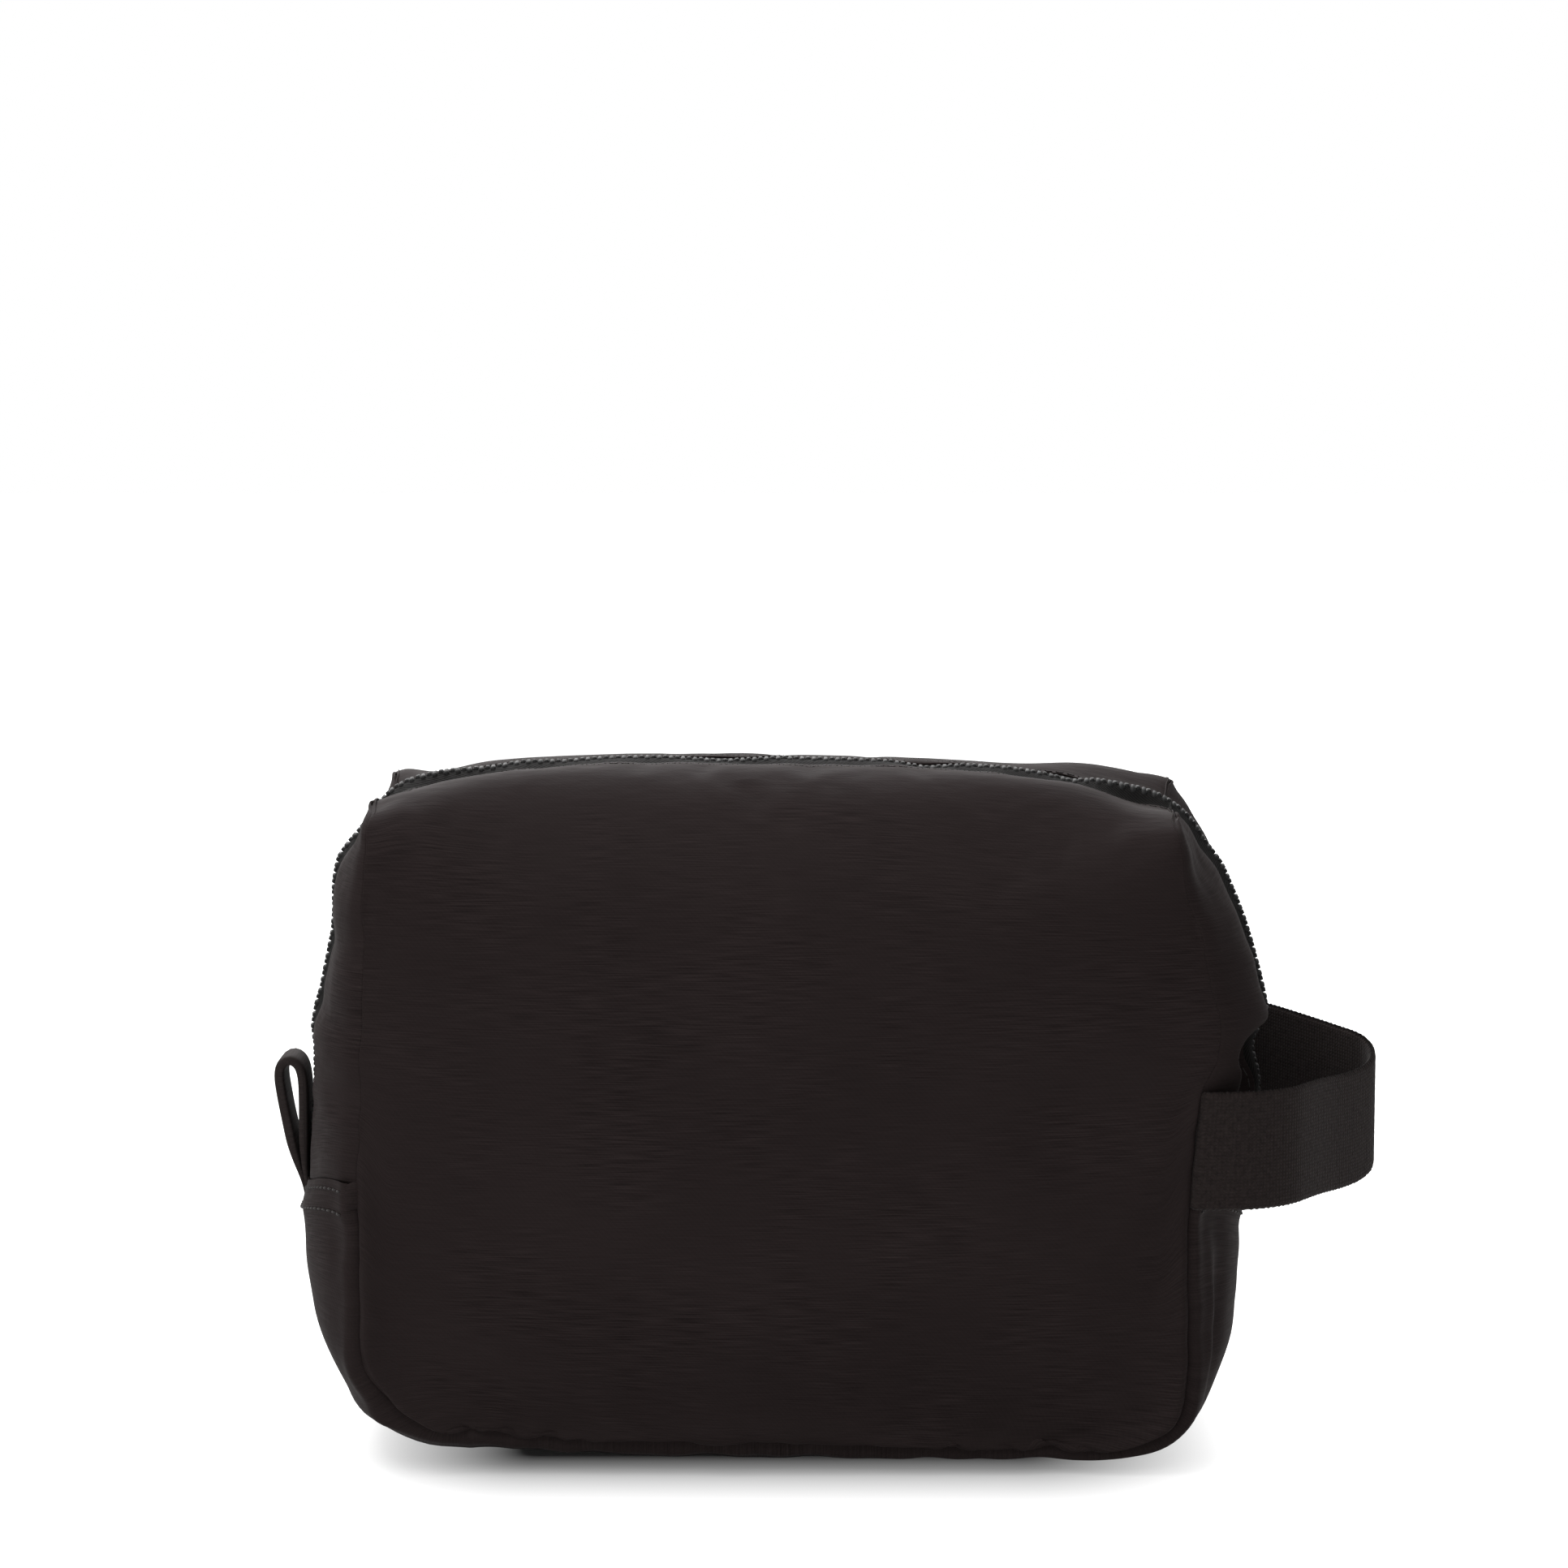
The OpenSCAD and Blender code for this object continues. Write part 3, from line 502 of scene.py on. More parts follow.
def plump(grid, sides, height, reach):
    """Swells cloth out beside its seams, so that each seam lies in a groove: height is the swell's size."""
    away = edge_distance(grid, sides) / reach
    return grid + grid_normals(grid) * (height * away * np.exp(1 - away))[..., None]


def gather(grid, folds):
    """Small folds that rise from a panel's bottom seam: place, size, width, height and lean of each."""
    up_from_seam = edge_distance(grid, ("start",))
    rise = np.zeros(up_from_seam.shape)
    for place, size, wide, tall, lean in folds:
        beside = (grid[..., 0] - place - lean * up_from_seam) / wide
        rise += size * np.exp(-beside ** 2 - up_from_seam / tall) * np.minimum(up_from_seam / 1.5, 1)
    return grid + grid_normals(grid) * rise[..., None]


def tighten(grid, side):
    """Adds a row of points just inside one side of a grid, so that the cloth turns sharply there."""
    work = grid if side in ("start", "end") else grid.transpose(1, 0, 2)
    work = work if side in ("start", "left") else work[::-1]
    work = np.vstack([work[:1], work[:1] + unit(work[1:2] - work[:1]) * 0.4, work[1:]])
    work = work if side in ("start", "left") else work[::-1]
    return work if side in ("start", "end") else work.transpose(1, 0, 2)


def turn_in(grid, side, *steps):
    """Folds a strip of cloth inwards along one side of a grid: each step is a shift from that side."""
    work = tighten(grid, side)
    work = work if side in ("start", "end") else work.transpose(1, 0, 2)
    first = side in ("start", "left")
    edge = work[:1] if first else work[-1:]
    rows = [edge + np.asarray(step) for step in steps]
    work = np.vstack(rows[::-1] + [work]) if first else np.vstack([work] + rows)
    return work if side in ("start", "end") else work.transpose(1, 0, 2)


def apply_modifiers(obj):
    """Bakes an object's modifiers into its mesh."""
    graph = bpy.context.evaluated_depsgraph_get()
    mesh = bpy.data.meshes.new_from_object(obj.evaluated_get(graph), preserve_all_data_layers=True,
                                           depsgraph=graph)
    old = obj.data
    obj.modifiers.clear()
    obj.data = mesh
    bpy.data.meshes.remove(old)
    mesh.name = obj.name


def new_piece(name, points, faces, uv, material):
    """A piece from points in millimetres and faces, with its cloth coordinates in millimetres."""
    mesh = bpy.data.meshes.new(name)
    places = np.asarray(points).reshape(-1, 3) * MM
    mesh.from_pydata(places.tolist(), [], [[int(k) for k in f] for f in faces])
    corner = np.empty(len(mesh.loops), np.int32)
    mesh.loops.foreach_get("vertex_index", corner)
    layer = mesh.uv_layers.new(name="cloth")
    layer.data.foreach_set("uv", (np.asarray(uv).reshape(-1, 2)[corner] * MM).astype(np.float32).ravel())
    mesh.materials.append(material)
    mesh.polygons.foreach_set("use_smooth", [True] * len(mesh.polygons))
    obj = bpy.data.objects.new(name, mesh)
    scene.collection.objects.link(obj)
    return obj


def flat_uv(grid):
    """Cloth coordinates of a grid: mean lengths along its rows and columns, in millimetres."""
    du = np.linalg.norm(np.diff(grid, axis=1), axis=2).mean(0)
    dv = np.linalg.norm(np.diff(grid, axis=0), axis=2).mean(1)
    return np.dstack(np.meshgrid(np.concatenate([[0], np.cumsum(du)]), np.concatenate([[0], np.cumsum(dv)])))


def cloth_piece(name, grid, material, thickness=NYLON_T):
    """A piece of cloth from a grid of points, with its thickness on the inside."""
    obj = new_piece(name, grid, grid_quads(*grid.shape[:2]), flat_uv(grid), material)
    solid = obj.modifiers.new("thickness", "SOLIDIFY")
    solid.thickness, solid.offset = thickness * MM, -1
    finer = obj.modifiers.new("finer", "SUBSURF")
    finer.levels = finer.render_levels = 1
    apply_modifiers(obj)
    return obj


def for_half(grid, half):
    """A grid of a front piece, or its mirror image for the back."""
    return grid if half == "front" else (grid * np.array([1, -1, 1]))[:, ::-1]


def fold_with(obj):
    """Bakes a piece's placement into its mesh."""
    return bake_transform(obj)


def cut_from(obj):
    """Hands the piece back unchanged."""
    return obj


PANEL_SEEDS = {"front": 11, "back": 47}
SEAM_FOLDS = [(-91, 1.8, 2.6, 7, 0.5), (-84, -2.8, 2.2, 8, 0.6), (-78, 1.8, 2.4, 7, 0.5),
              (-70, -1.4, 1.8, 5, 0.2), (-63, 1.4, 1.8, 4, 0.1), (-57, -1.6, 1.6, 5, 0.0),
              (-46, 0.9, 2.0, 4, 0.2), (-24, -1.2, 1.8, 5, 0.3), (-16, 1.0, 2.0, 4, 0.2),
              (-6, -1.3, 1.7, 5, -0.2), (4, 0.9, 1.8, 4, 0.0), (22, -0.8, 1.8, 3, 0.2),
              (43, -1.8, 1.2, 3, 0.3), (48, 1.2, 1.6, 3, 0.2), (66, -0.9, 1.8, 4, 0.0),
              (84, 0.9, 2.2, 5, -0.3)]
base_panels = {"front": panel_grid(2.2, 3.4, 14), "back": panel_grid(2.5, 2.7, 7)}
side_row = int(np.argmin(np.abs(base_panels["front"][:LOW_ROWS + FACE_ROWS, 0, 2] - GUSSET_H)))
smooth_panels, panels = {}, {}
for half, base in base_panels.items():
    sewn = wobble_seam(base, PANEL_SEEDS[half])
    ease = np.maximum(np.exp(-edge_distance(base, ("start",)) / 14),
                      0.08 * np.exp(-edge_distance(base, ("left", "right")) / 14))
    settled = settle(sewn, ease, pressure=0.5, loose=(0.003, 0.035), cap=7)
    tight = 0.7 * rise(np.abs(base[..., :1]), 76, 24) * rise(base[..., 2:], 138, 22)
    smooth_panels[half] = settled + (sewn - settled) * tight
    panels[half] = gather(smooth_panels[half], SEAM_FOLDS)
    low_swell = 3.0 * (1 - rise(base[..., 2], 45, 40))
    panels[half] = plump(panels[half], ("start", "left", "right"), low_swell, 2.2)
    panels[half] = plump(panels[half], ("right",), 1.6 * np.exp(-((base[..., 2] - 86) / 15) ** 4), 1.3)
    grid = turn_in(panels[half], "left", (0.5, 0.8, 0), (1.0, 1.5, 0))
    grid = turn_in(grid, "right", (-0.5, 0.8, 0), (-1.0, 1.5, 0))
    grid = turn_in(grid, "start", (0, 0.8, 0.5), (0, 1.5, 1.0))
    grid = turn_in(grid, "end", (0, 0.15, -0.75), (0, -3.0, -1.0))
    grid = for_half(grid, half)
    piece = cloth_piece(f"{half}_panel", sit(grid), nylon)
    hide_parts(f"{half}_panel_lower", f"{half}_panel_upper")
    fold_with(piece)
    cut_from(piece)

# Side strips. Four pieces of nylon fill the sides between the panels' seams and the zip, above the side
# seams. They swell outwards, taper to the top corners and are hemmed along the zip.
STRIP_COLS, STRIP_ROWS = 20, 58


def strip_grid(side, panel, seed):
    """Grid of a strip as a front one: rows up the panel's side seam, columns from the seam to the zip."""
    seam = panel[side_row:, 0 if side < 0 else -1]
    peak = int(np.argmax(seam[:, 2]))
    rim = along(seam[:peak + 1], STRIP_ROWS)
    last = along(seam[peak:], STRIP_COLS)
    run = zip_line[:left_turn + 1] if side < 0 else zip_line[right_turn:][::-1]
    v = np.linspace(0, 1, STRIP_ROWS)
    zip_z = rim[0, 2] + (run[-1, 1] - rim[0, 2]) * (rim[:, 2] - rim[0, 2]) / (rim[-1, 2] - rim[0, 2])
    hem_x = np.interp(zip_z, run[:, 1], np.abs(run[:, 0])) + np.interp(zip_z, *SIDE_DROP[side])
    hem_x += waves(zip_z, seed, (44, 19, 11), (0.25, 0.3, 0.2)) * np.sin(math.pi * v)
    hem_y = SLOT_HALF + waves(zip_z, seed + 1, (38, 17, 10), (0.3, 0.3, 0.2)) * np.sin(math.pi * v)
    rows = []
    for k in range(STRIP_ROWS):
        ys = np.linspace(-rim[k, 1], hem_y[k], STRIP_COLS)
        above = smooth((rim[k, 2] - 70) / 25)
        share = (1 - (ys / -rim[k, 1]) ** (2.2 + 0.9 * above)) ** (0.85 + 0.15 * above)
        x = abs(rim[k, 0]) + (hem_x[k] - abs(rim[k, 0])) * share / share[-1]
        t = (ys - ys[0]) / (ys[-1] - ys[0])
        rows.append(np.column_stack([side * x, -ys, rim[k, 2] + (zip_z[k] - rim[k, 2]) * t]))
    grid = np.array(rows)
    grid[-1, -1] = last[-1]
    near_top = smooth((v - 0.75) / 0.25)[:, None, None] ** 2
    grid = grid + near_top * (last - grid[-1])
    tuck = hump(grid[..., 2], 161, 9) * np.sin(math.pi * np.linspace(0, 1, STRIP_COLS)) ** 2
    grid[..., 0] -= side * 1.6 * tuck
    ease = np.exp(-edge_distance(grid, ("right",)) / 8)
    turned = grid[:, ::-1] if side < 0 else grid
    turned = settle(turned, ease[:, ::-1] if side < 0 else ease, pressure=0.2, loose=(0.002, 0.035), cap=4)
    turned = plump(turned, ("right" if side < 0 else "left",), 0.9, 3.5)
    return turned[:, ::-1] if side < 0 else turned


strips = {}
for side, side_name in ((-1, "left"), (1, "right")):
    for half, flip in (("front", 1), ("back", -1)):
        strips[side_name, half] = strip_grid(side, panels[half], 60 + 7 * side + flip)
        grid = turn_in(strips[side_name, half], "left", (-side * 0.75, 0.5, 0), (-side * 1.4, 1.2, 0))
        grid = turn_in(grid, "right", (-side * 0.75, -0.15, 0), (-side * 1.0, -3.0, 0))
        grid = turn_in(grid, "start", (-side * 0.9, 0, -0.6), (-side * 1.1, 0, -5))
        grid = grid * np.array([1, flip, 1])
        if side * flip < 0:
            grid = grid[:, ::-1]
        piece = cloth_piece(f"{side_name}_{half}_side", sit(grid), nylon)
        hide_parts(f"{side_name}_{half}_strip", f"{side_name}_{half}_strip_lower")
        fold_with(piece)
        cut_from(piece)

# Gusset band. One long piece of nylon goes down the left side, under the base and up the right side. Its two
# ends are folded under over the zip's ends and the side strips and sewn down with two rows of stitches.
DEPTH_COLS, FLOOR_GAP = 43, 0.4


def around(panel):
    """A panel's seam from the left side seam down, along the bottom and up to the right side seam."""
    return np.vstack([panel[side_row:0:-1, 0], panel[0], panel[1:side_row + 1, -1]])


rim = around(base_panels["front"])
front_rim, back_rim = around(panels["front"]), around(panels["back"]) * np.array([1, -1, 1])
way = unit(np.gradient(rim[:, [0, 2]], axis=0))
t = np.linspace(0, 1, DEPTH_COLS)[None, :, None]
t = 0.25 * t + 0.375 * (1 - np.cos(math.pi * t))
depth = SEAM_HALF * (2 * t[..., 0] - 1)
fullness = (0.52 + 0.33 * smooth((rim[:, 2] - 12) / 30))[:, None]
swell = (SHELL_OUT + side_swell(rim[:, 2], 0))[:, None] * (1 - np.abs(depth / SEAM_HALF) ** 2.2) ** fullness
gusset = front_rim[:, None] * (1 - t) + back_rim[:, None] * t
gusset[..., 0] += way[:, 1:2] * swell
gusset[..., 2] -= way[:, :1] * swell
gusset[..., 2] = np.maximum(gusset[..., 2], FLOOR_GAP + 0.1)
ease = np.exp(-edge_distance(gusset, ("left", "right")) / 9)
smooth_gusset = settle(gusset, ease, pressure=0.08, loose=(0.002, 0.03), cap=4)
gusset = plump(smooth_gusset, ("left", "right"), 2.0, 2.0)
pinch = hump(gusset[..., 2], 38, 15) * (gusset[..., 0] > 90)
ridge_at = gusset[..., 1] + 43 - 0.10 * (gusset[..., 2] - 38)
gusset[..., 0] += pinch * (1.6 * hump(ridge_at, 0, 2.2) - 1.6 * hump(ridge_at, 6, 3.6))
gusset[..., 2] = np.maximum(gusset[..., 2], FLOOR_GAP)
inwards = np.column_stack([-way[:, 1], np.zeros(len(way)), way[:, 0]])
grid = turn_in(gusset, "left", inwards * 0.7 + (0, 0.5, 0), inwards * 1.4 + (0, 1.1, 0))
grid = turn_in(grid, "right", inwards * 0.7 - (0, 0.5, 0), inwards * 1.4 - (0, 1.1, 0))
for end, sign in (("start", 1), ("end", -1)):
    grid = turn_in(grid, end, (sign * 0.75, 0, -0.1), (sign * 0.85, 0, -6))
grid[..., 0] += np.where(grid[..., 2] > GUSSET_H - 9, np.sign(grid[..., 0]) * 0.45, 0)
gusset_piece = cloth_piece("gusset", sit(grid), nylon)
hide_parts("gusset_band")
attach(gusset_piece, "bag")
cut_from(gusset_piece)

# Zip tape: two woven tapes that lie side by side under the cloth's edges, sewn to the shell along the whole
# zip. Each carries a row of teeth on its inner edge.
tape, tape_shader, tape_uv = new_finish("zip_tape", Sheen_Weight=0.01, Specular_IOR_Level=0.02)
TAPE_T = 0.6
herringbone = tape_uv.bands("DIAGONAL", 520.0)
tape_tone = herringbone * 0.5 + tape_uv.noise(90.0) * 0.6 + 0.45
# The tape is coloured much darker than the nylon: partly the black tape's own colour, partly painted shade
# for the recess between the cloth's edges and the teeth.
feed(tape_shader, Base_Color=tape_tone.tinted((0.0062, 0.0058, 0.0056, 1)),
     Roughness=0.85 - herringbone * 0.15, Normal=herringbone.bump(0.4, 0.0002))


def zip_hem(half):
    """The cloth's edge along the zip from left to right, and the cloth a few millimetres in from it."""
    left, right, panel = strips["left", half], strips["right", half], panels[half]
    hem = np.vstack([left[:-1, -1], panel[-1], right[-2::-1, -1]])
    inner = np.vstack([left[:-1, -4], panel[-3], right[-2::-1, -4]])
    return hem, inner


def nearest_on_zip(points):
    """The points of the zip's line beside the given ones, kept in order."""
    fine = along(zip_line, 1600)
    found = np.argmin(np.linalg.norm(points[:, None, [0, 2]] - fine[None], axis=2), axis=1)
    return fine[np.maximum.accumulate(found)]


for half, flip in (("front", 1), ("back", -1)):
    hem, inner = zip_hem(half)
    beside = nearest_on_zip(hem)
    ways = unit(np.gradient(beside, axis=0))
    lower = np.column_stack([ways[:, 1], np.zeros(len(ways)), -ways[:, 0]])
    middle = np.column_stack([beside[:, 0], np.full(len(beside), -0.35), beside[:, 1]]) + lower * 0.5
    under = hem + lower * 1.15 + (0, -0.2, 0)
    grid = np.stack([middle, middle + (under - middle) * 0.33 - lower * 0.25,
                     middle + (under - middle) * 0.68 - lower * 0.2, under, inner + lower * 1.3], axis=1)
    grid = np.vstack([grid[:1] + (0, 0, -4), grid, grid[-1:] + (0, 0, -4)]) * np.array([1, flip, 1])
    if flip > 0:
        grid = grid[:, ::-1]
    piece = cloth_piece(f"{half}_tape", sit(grid), tape, TAPE_T)
    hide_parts(f"{half}_zip_tape", "left_zip_end_tapes", "right_zip_end_tapes")
    fold_with(piece)

# Zip teeth: moulded black teeth clamped round the inner edges of the tapes, the two rows half a step apart,
# with a stop block at each end.
teeth_finish, teeth_shader, teeth_uv = new_finish("zip_teeth", Specular_IOR_Level=0.11)
mould = teeth_uv.noise(600.0, 3.0)
scuff = teeth_uv.noise(140.0)
feed(teeth_shader, Base_Color=(mould * 0.4 + scuff * 0.8 + 0.4).tinted((0.011, 0.0108, 0.0108, 1)),
     Roughness=0.45 + scuff * 0.3, Normal=mould.bump(0.15, 0.0001))
PITCH, TOOTH_TOP, TOOTH_LOW, FIRST_TOOTH, LAST_TOOTH = 3.2, 0.7, -1.9, 8.4, 14
# Stations of one tooth across the zip: place, half length along the zip, and share of the full height.
TOOTH = [(-3.05, 0.30, 0.30), (-2.85, 0.62, 0.62), (-2.2, 0.72, 0.80), (-0.9, 0.70, 1.0), (-0.35, 0.48, 1.0),
         (0.15, 0.46, 1.0), (0.55, 0.66, 0.98), (0.95, 0.62, 0.85), (1.2, 0.40, 0.5)]
RING = [(1.0, 0.55), (0.62, 1.0), (-0.62, 1.0), (-1.0, 0.55),
        (-1.0, -0.55), (-0.62, -1.0), (0.62, -1.0), (1.0, -0.55)]
zip_length = np.linalg.norm(np.diff(zip_line, axis=0), axis=1).sum()


def ring_faces(rings, sides, start=0):
    """Faces of a closed tube of rings of points, with its two ends."""
    k = np.arange(sides)
    firsts = range(start, start + (rings - 1) * sides, sides)
    faces = [[first + a, first + b, first + sides + b, first + sides + a]
             for first in firsts for a, b in zip(k, np.roll(k, -1))]
    return faces + [list(range(start + sides - 1, start - 1, -1)),
                    list(range(start + (rings - 1) * sides, start + rings * sides))]


def slant_uv(points):
    """Coordinates of a moulded or cast piece: its points seen from a slant, so that no side is a line."""
    return points[:, [0, 2]] + points[:, 1:2] * 0.7


def zip_frames(first, last, step):
    """Places at even steps along the zip, with the directions along it and out of it."""
    fine = along(zip_line, int(zip_length * 4))
    run = np.linspace(0, zip_length, len(fine))
    at = np.arange(first, last, step)
    place = np.column_stack([np.interp(at, run, fine[:, k]) for k in (0, 1)])
    ahead = unit(np.column_stack([np.interp(at + 1, run, fine[:, k]) - np.interp(at - 1, run, fine[:, k])
                                  for k in (0, 1)]))
    return place, ahead, np.column_stack([-ahead[:, 1], ahead[:, 0]])


for half, flip, offset in (("front", 1, 0.0), ("back", -1, 0.5)):
    points, faces = [], []
    middle_h, half_h = (TOOTH_TOP + TOOTH_LOW) / 2, (TOOTH_TOP - TOOTH_LOW) / 2
    frames = zip_frames(FIRST_TOOTH + offset * PITCH, zip_length - LAST_TOOTH, PITCH)
    for place, ahead, outward in zip(*frames):
        faces += [f if flip > 0 else f[::-1] for f in ring_faces(len(TOOTH), len(RING), len(points))]
        for across, long, high in TOOTH:
            for a, b in RING:
                xz = place + ahead * a * long + outward * (middle_h + b * high * half_h)
                points.append((xz[0], across * flip, xz[1]))
    points = np.array(points)
    faces = [f[::-1] for f in faces]
    piece = new_piece(f"{half}_teeth", sit(points), faces, slant_uv(points), teeth_finish)
    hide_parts(f"{half}_zip_teeth", "left_zip_end_teeth", "right_zip_end_teeth")
    fold_with(piece)

# Zip stops: blocks of the same plastic as the teeth, moulded over the ends of the tapes. One joins both tapes
# at the left end, and a smaller one closes each row at the right.
EASED = 0.35


def stop_piece(name, at, spans, long, height, node):
    """Rounded blocks across the zip at a distance along it, each from one depth to another."""
    place, ahead, outward = (v[0] for v in zip_frames(at, at + 0.5, 1))
    points, faces = [], []
    for low, high in spans:
        faces += [f[::-1] for f in ring_faces(4, len(RING), len(points))]
        for y, inset in ((low, EASED), (low + EASED, 0), (high - EASED, 0), (high, EASED)):
            for a, b in RING:
                xz = place + ahead * a * (long - inset)
                xz = xz + outward * (sum(height) / 2 + b * ((height[1] - height[0]) / 2 - inset))
                points.append((xz[0], y, xz[1]))
    points = np.array(points)
    obj = new_piece(name, sit(points), faces, slant_uv(points), teeth_finish)
    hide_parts(node)
    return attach(obj, "bag")


stop_piece("left_stop", 6.0, ((-3.0, 3.0),), 1.2, (-1.9, 0.9), "zip_bottom_stop")
stop_piece("right_stops", zip_length - 6.2, ((-3.0, -0.6), (0.6, 3.0)), 1.2, (-1.9, 0.8), "zip_top_stops")

# Zip slider and puller: cast metal, painted black and worn along the edges. The slider has two plates with
# flanges round the teeth, joined by a post, and a lug on the outer plate for the pin of the swinging puller.
painted, painted_shader, painted_uv = new_finish("zip_metal", Specular_IOR_Level=0.5)
cast = painted_uv.noise(260.0, 4.0, 0.6)
pointed = painted_uv.node("ShaderNodeNewGeometry", out=7)
worn = cast * pointed.spread(0.52, 0.62, 0.0, 0.9)
feed(painted_shader, Base_Color=worn.node("ShaderNodeMix", {"data_type": "RGBA"}, out=2, i0=worn,
                                          i6=(0.014, 0.014, 0.0145, 1), i7=(0.32, 0.32, 0.33, 1)),
     Metallic=worn, Roughness=0.28 + cast * 0.25, Normal=cast.bump(0.12, 0.0002))
PARK_H, SLIDER_L, SLIDER_W, PLATE_T, PLATE_OUT, PLATE_IN = 78.4, 12.0, 9.0, 1.2, 1.0, -2.2
PIN_UP, PIN_OUT, PIN_R, LUG_R, LUG_W, PULLER_W = 1.5, 3.63, 0.9, 1.88, 3.0, 7.0
side_taper = (PANEL_W - TOP_W) / 2 / (END_H - GUSSET_H)
slide_way = unit(np.array([RIGHT_FLARE / (BULGE_TOP - GUSSET_H) - side_taper, 1.0]))
slide_out = np.array([slide_way[1], -slide_way[0]])
park = np.array([half_width(PARK_H) + SHELL_OUT + side_swell(PARK_H, 1), PARK_H])


def on_slider(points):
    """Places points given as along the zip, across it and out of it, measured from the slider's middle."""
    points = np.asarray(points, float)
    xz = park + points[:, :1] * slide_way + points[:, 2:] * slide_out
    return np.column_stack([xz[:, 0], points[:, 1], xz[:, 1]])


def rounded(corners, radius, steps=5):
    """A closed outline with its corners rounded off."""
    corners = np.asarray(corners, float)
    out = []
    for before, corner, after in zip(np.roll(corners, 1, 0), corners, np.roll(corners, -1, 0)):
        a, b = before - corner, after - corner
        reach = min(radius, 0.48 * np.linalg.norm(a), 0.48 * np.linalg.norm(b))
        p, q = corner + unit(a) * reach, corner + unit(b) * reach
        k = np.linspace(0, 1, steps)[:, None]
        out.append((1 - k) ** 2 * p + 2 * (1 - k) * k * corner + k ** 2 * q)
    return np.vstack(out)


def slab(outline, low, high, edge, plane):
    """A plate with rounded edges from an outline: plane is the order of its axes, with its thickness last."""
    inner = outline - unit(outline - outline.mean(0)) * edge
    points = []
    for ring, height in ((inner, low), (outline, low + edge), (outline, high - edge), (inner, high)):
        flat = np.column_stack([ring, np.full(len(ring), height)])
        points.append(flat[:, np.argsort(plane)])
    return np.vstack(points), ring_faces(4, len(outline))


def metal_piece(name, slabs, node, body):
    points, faces = [], []
    for slab_points, slab_faces in slabs:
        faces += [[k + sum(len(p) for p in points) for k in face] for face in slab_faces]
        points.append(slab_points)
    points = on_slider(np.vstack(points))
    obj = new_piece(name, points, faces, slant_uv(points), painted)
    shell = bmesh.new()
    shell.from_mesh(obj.data)
    bmesh.ops.recalc_face_normals(shell, faces=shell.faces)
    shell.to_mesh(obj.data)
    shell.free()
    crisp = obj.modifiers.new("crisp", "EDGE_SPLIT")
    crisp.split_angle = math.radians(50)
    apply_modifiers(obj)
    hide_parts(node)
    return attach(obj, body)


def disc(radius):
    turn = np.linspace(0, 2 * math.pi, 25)[:-1]
    return np.column_stack([PIN_UP + radius * np.cos(turn), PIN_OUT + radius * np.sin(turn)])


half_l, half_w = SLIDER_L / 2, SLIDER_W / 2
plate_outline = rounded([(-half_l, -2.9), (-half_l, 2.9), (0.5, half_w), (half_l, half_w - 0.6),
                         (half_l, -half_w + 0.6), (0.5, -half_w)], 1.8)
flanges = [rounded([(-half_l + 0.8, y), (half_l - 0.8, y + s * 1.0), (half_l - 0.8, y + s * 2.0),
                    (-half_l + 0.8, y + s)], 0.4) for y, s in ((1.9, 1), (-1.9, -1))]
post = rounded([(-half_l + 0.3, -1.1), (-half_l + 2.4, -0.5), (-half_l + 2.4, 0.5),
                (-half_l + 0.3, 1.1)], 0.4)
lug = rounded([(PIN_UP - LUG_R, PLATE_OUT + 0.6), (PIN_UP + LUG_R, PLATE_OUT + 0.6),
               (PIN_UP + LUG_R, PIN_OUT + LUG_R), (PIN_UP - LUG_R, PIN_OUT + LUG_R)], 1.7, 8)
FLAT, UPRIGHT = (0, 1, 2), (0, 2, 1)
metal_piece("slider", [slab(plate_outline, PLATE_OUT, PLATE_OUT + PLATE_T, 0.3, FLAT),
                       slab(plate_outline, PLATE_IN - PLATE_T, PLATE_IN, 0.3, FLAT),
                       slab(post, PLATE_IN - 0.4, PLATE_OUT + 0.4, 0.05, FLAT),
                       *(slab(flange, 0.3, PLATE_OUT + 0.4, 0.1, FLAT) for flange in flanges),
                       slab(lug, -LUG_W / 2, LUG_W / 2, 0.3, UPRIGHT)], "slider_body", "slider")
arm = rounded([(PIN_UP + 1.4, PIN_OUT - 0.8), (PIN_UP + 1.4, PIN_OUT + 0.8), (PIN_UP - 6, PIN_OUT + 0.8),
               (PIN_UP - 6, PIN_OUT - 0.8)], 0.7)
tongue = rounded([(PIN_UP - 4.2, -PULLER_W / 2), (PIN_UP - 4.2, PULLER_W / 2), (PIN_UP - 16, PULLER_W / 2),
                  (PIN_UP - 16, -PULLER_W / 2)], 3.2, 8)
rib_up = rounded([(PIN_UP - 7, -1.6), (PIN_UP - 7, 1.6), (PIN_UP - 14, 1.6), (PIN_UP - 14, -1.6)], 1.5, 6)
metal_piece("zip_puller", [slab(disc(PIN_R), -PULLER_W / 2 + 0.1, PULLER_W / 2 - 0.1, 0.15, UPRIGHT),
                           slab(arm, 1.9, PULLER_W / 2, 0.25, UPRIGHT),
                           slab(arm, -PULLER_W / 2, -1.9, 0.25, UPRIGHT),
                           slab(tongue, PIN_OUT - 0.8, PIN_OUT + 0.8, 0.3, FLAT),
                           slab(rib_up, PIN_OUT + 0.5, PIN_OUT + 1.15, 0.3, FLAT)], "puller", "puller")

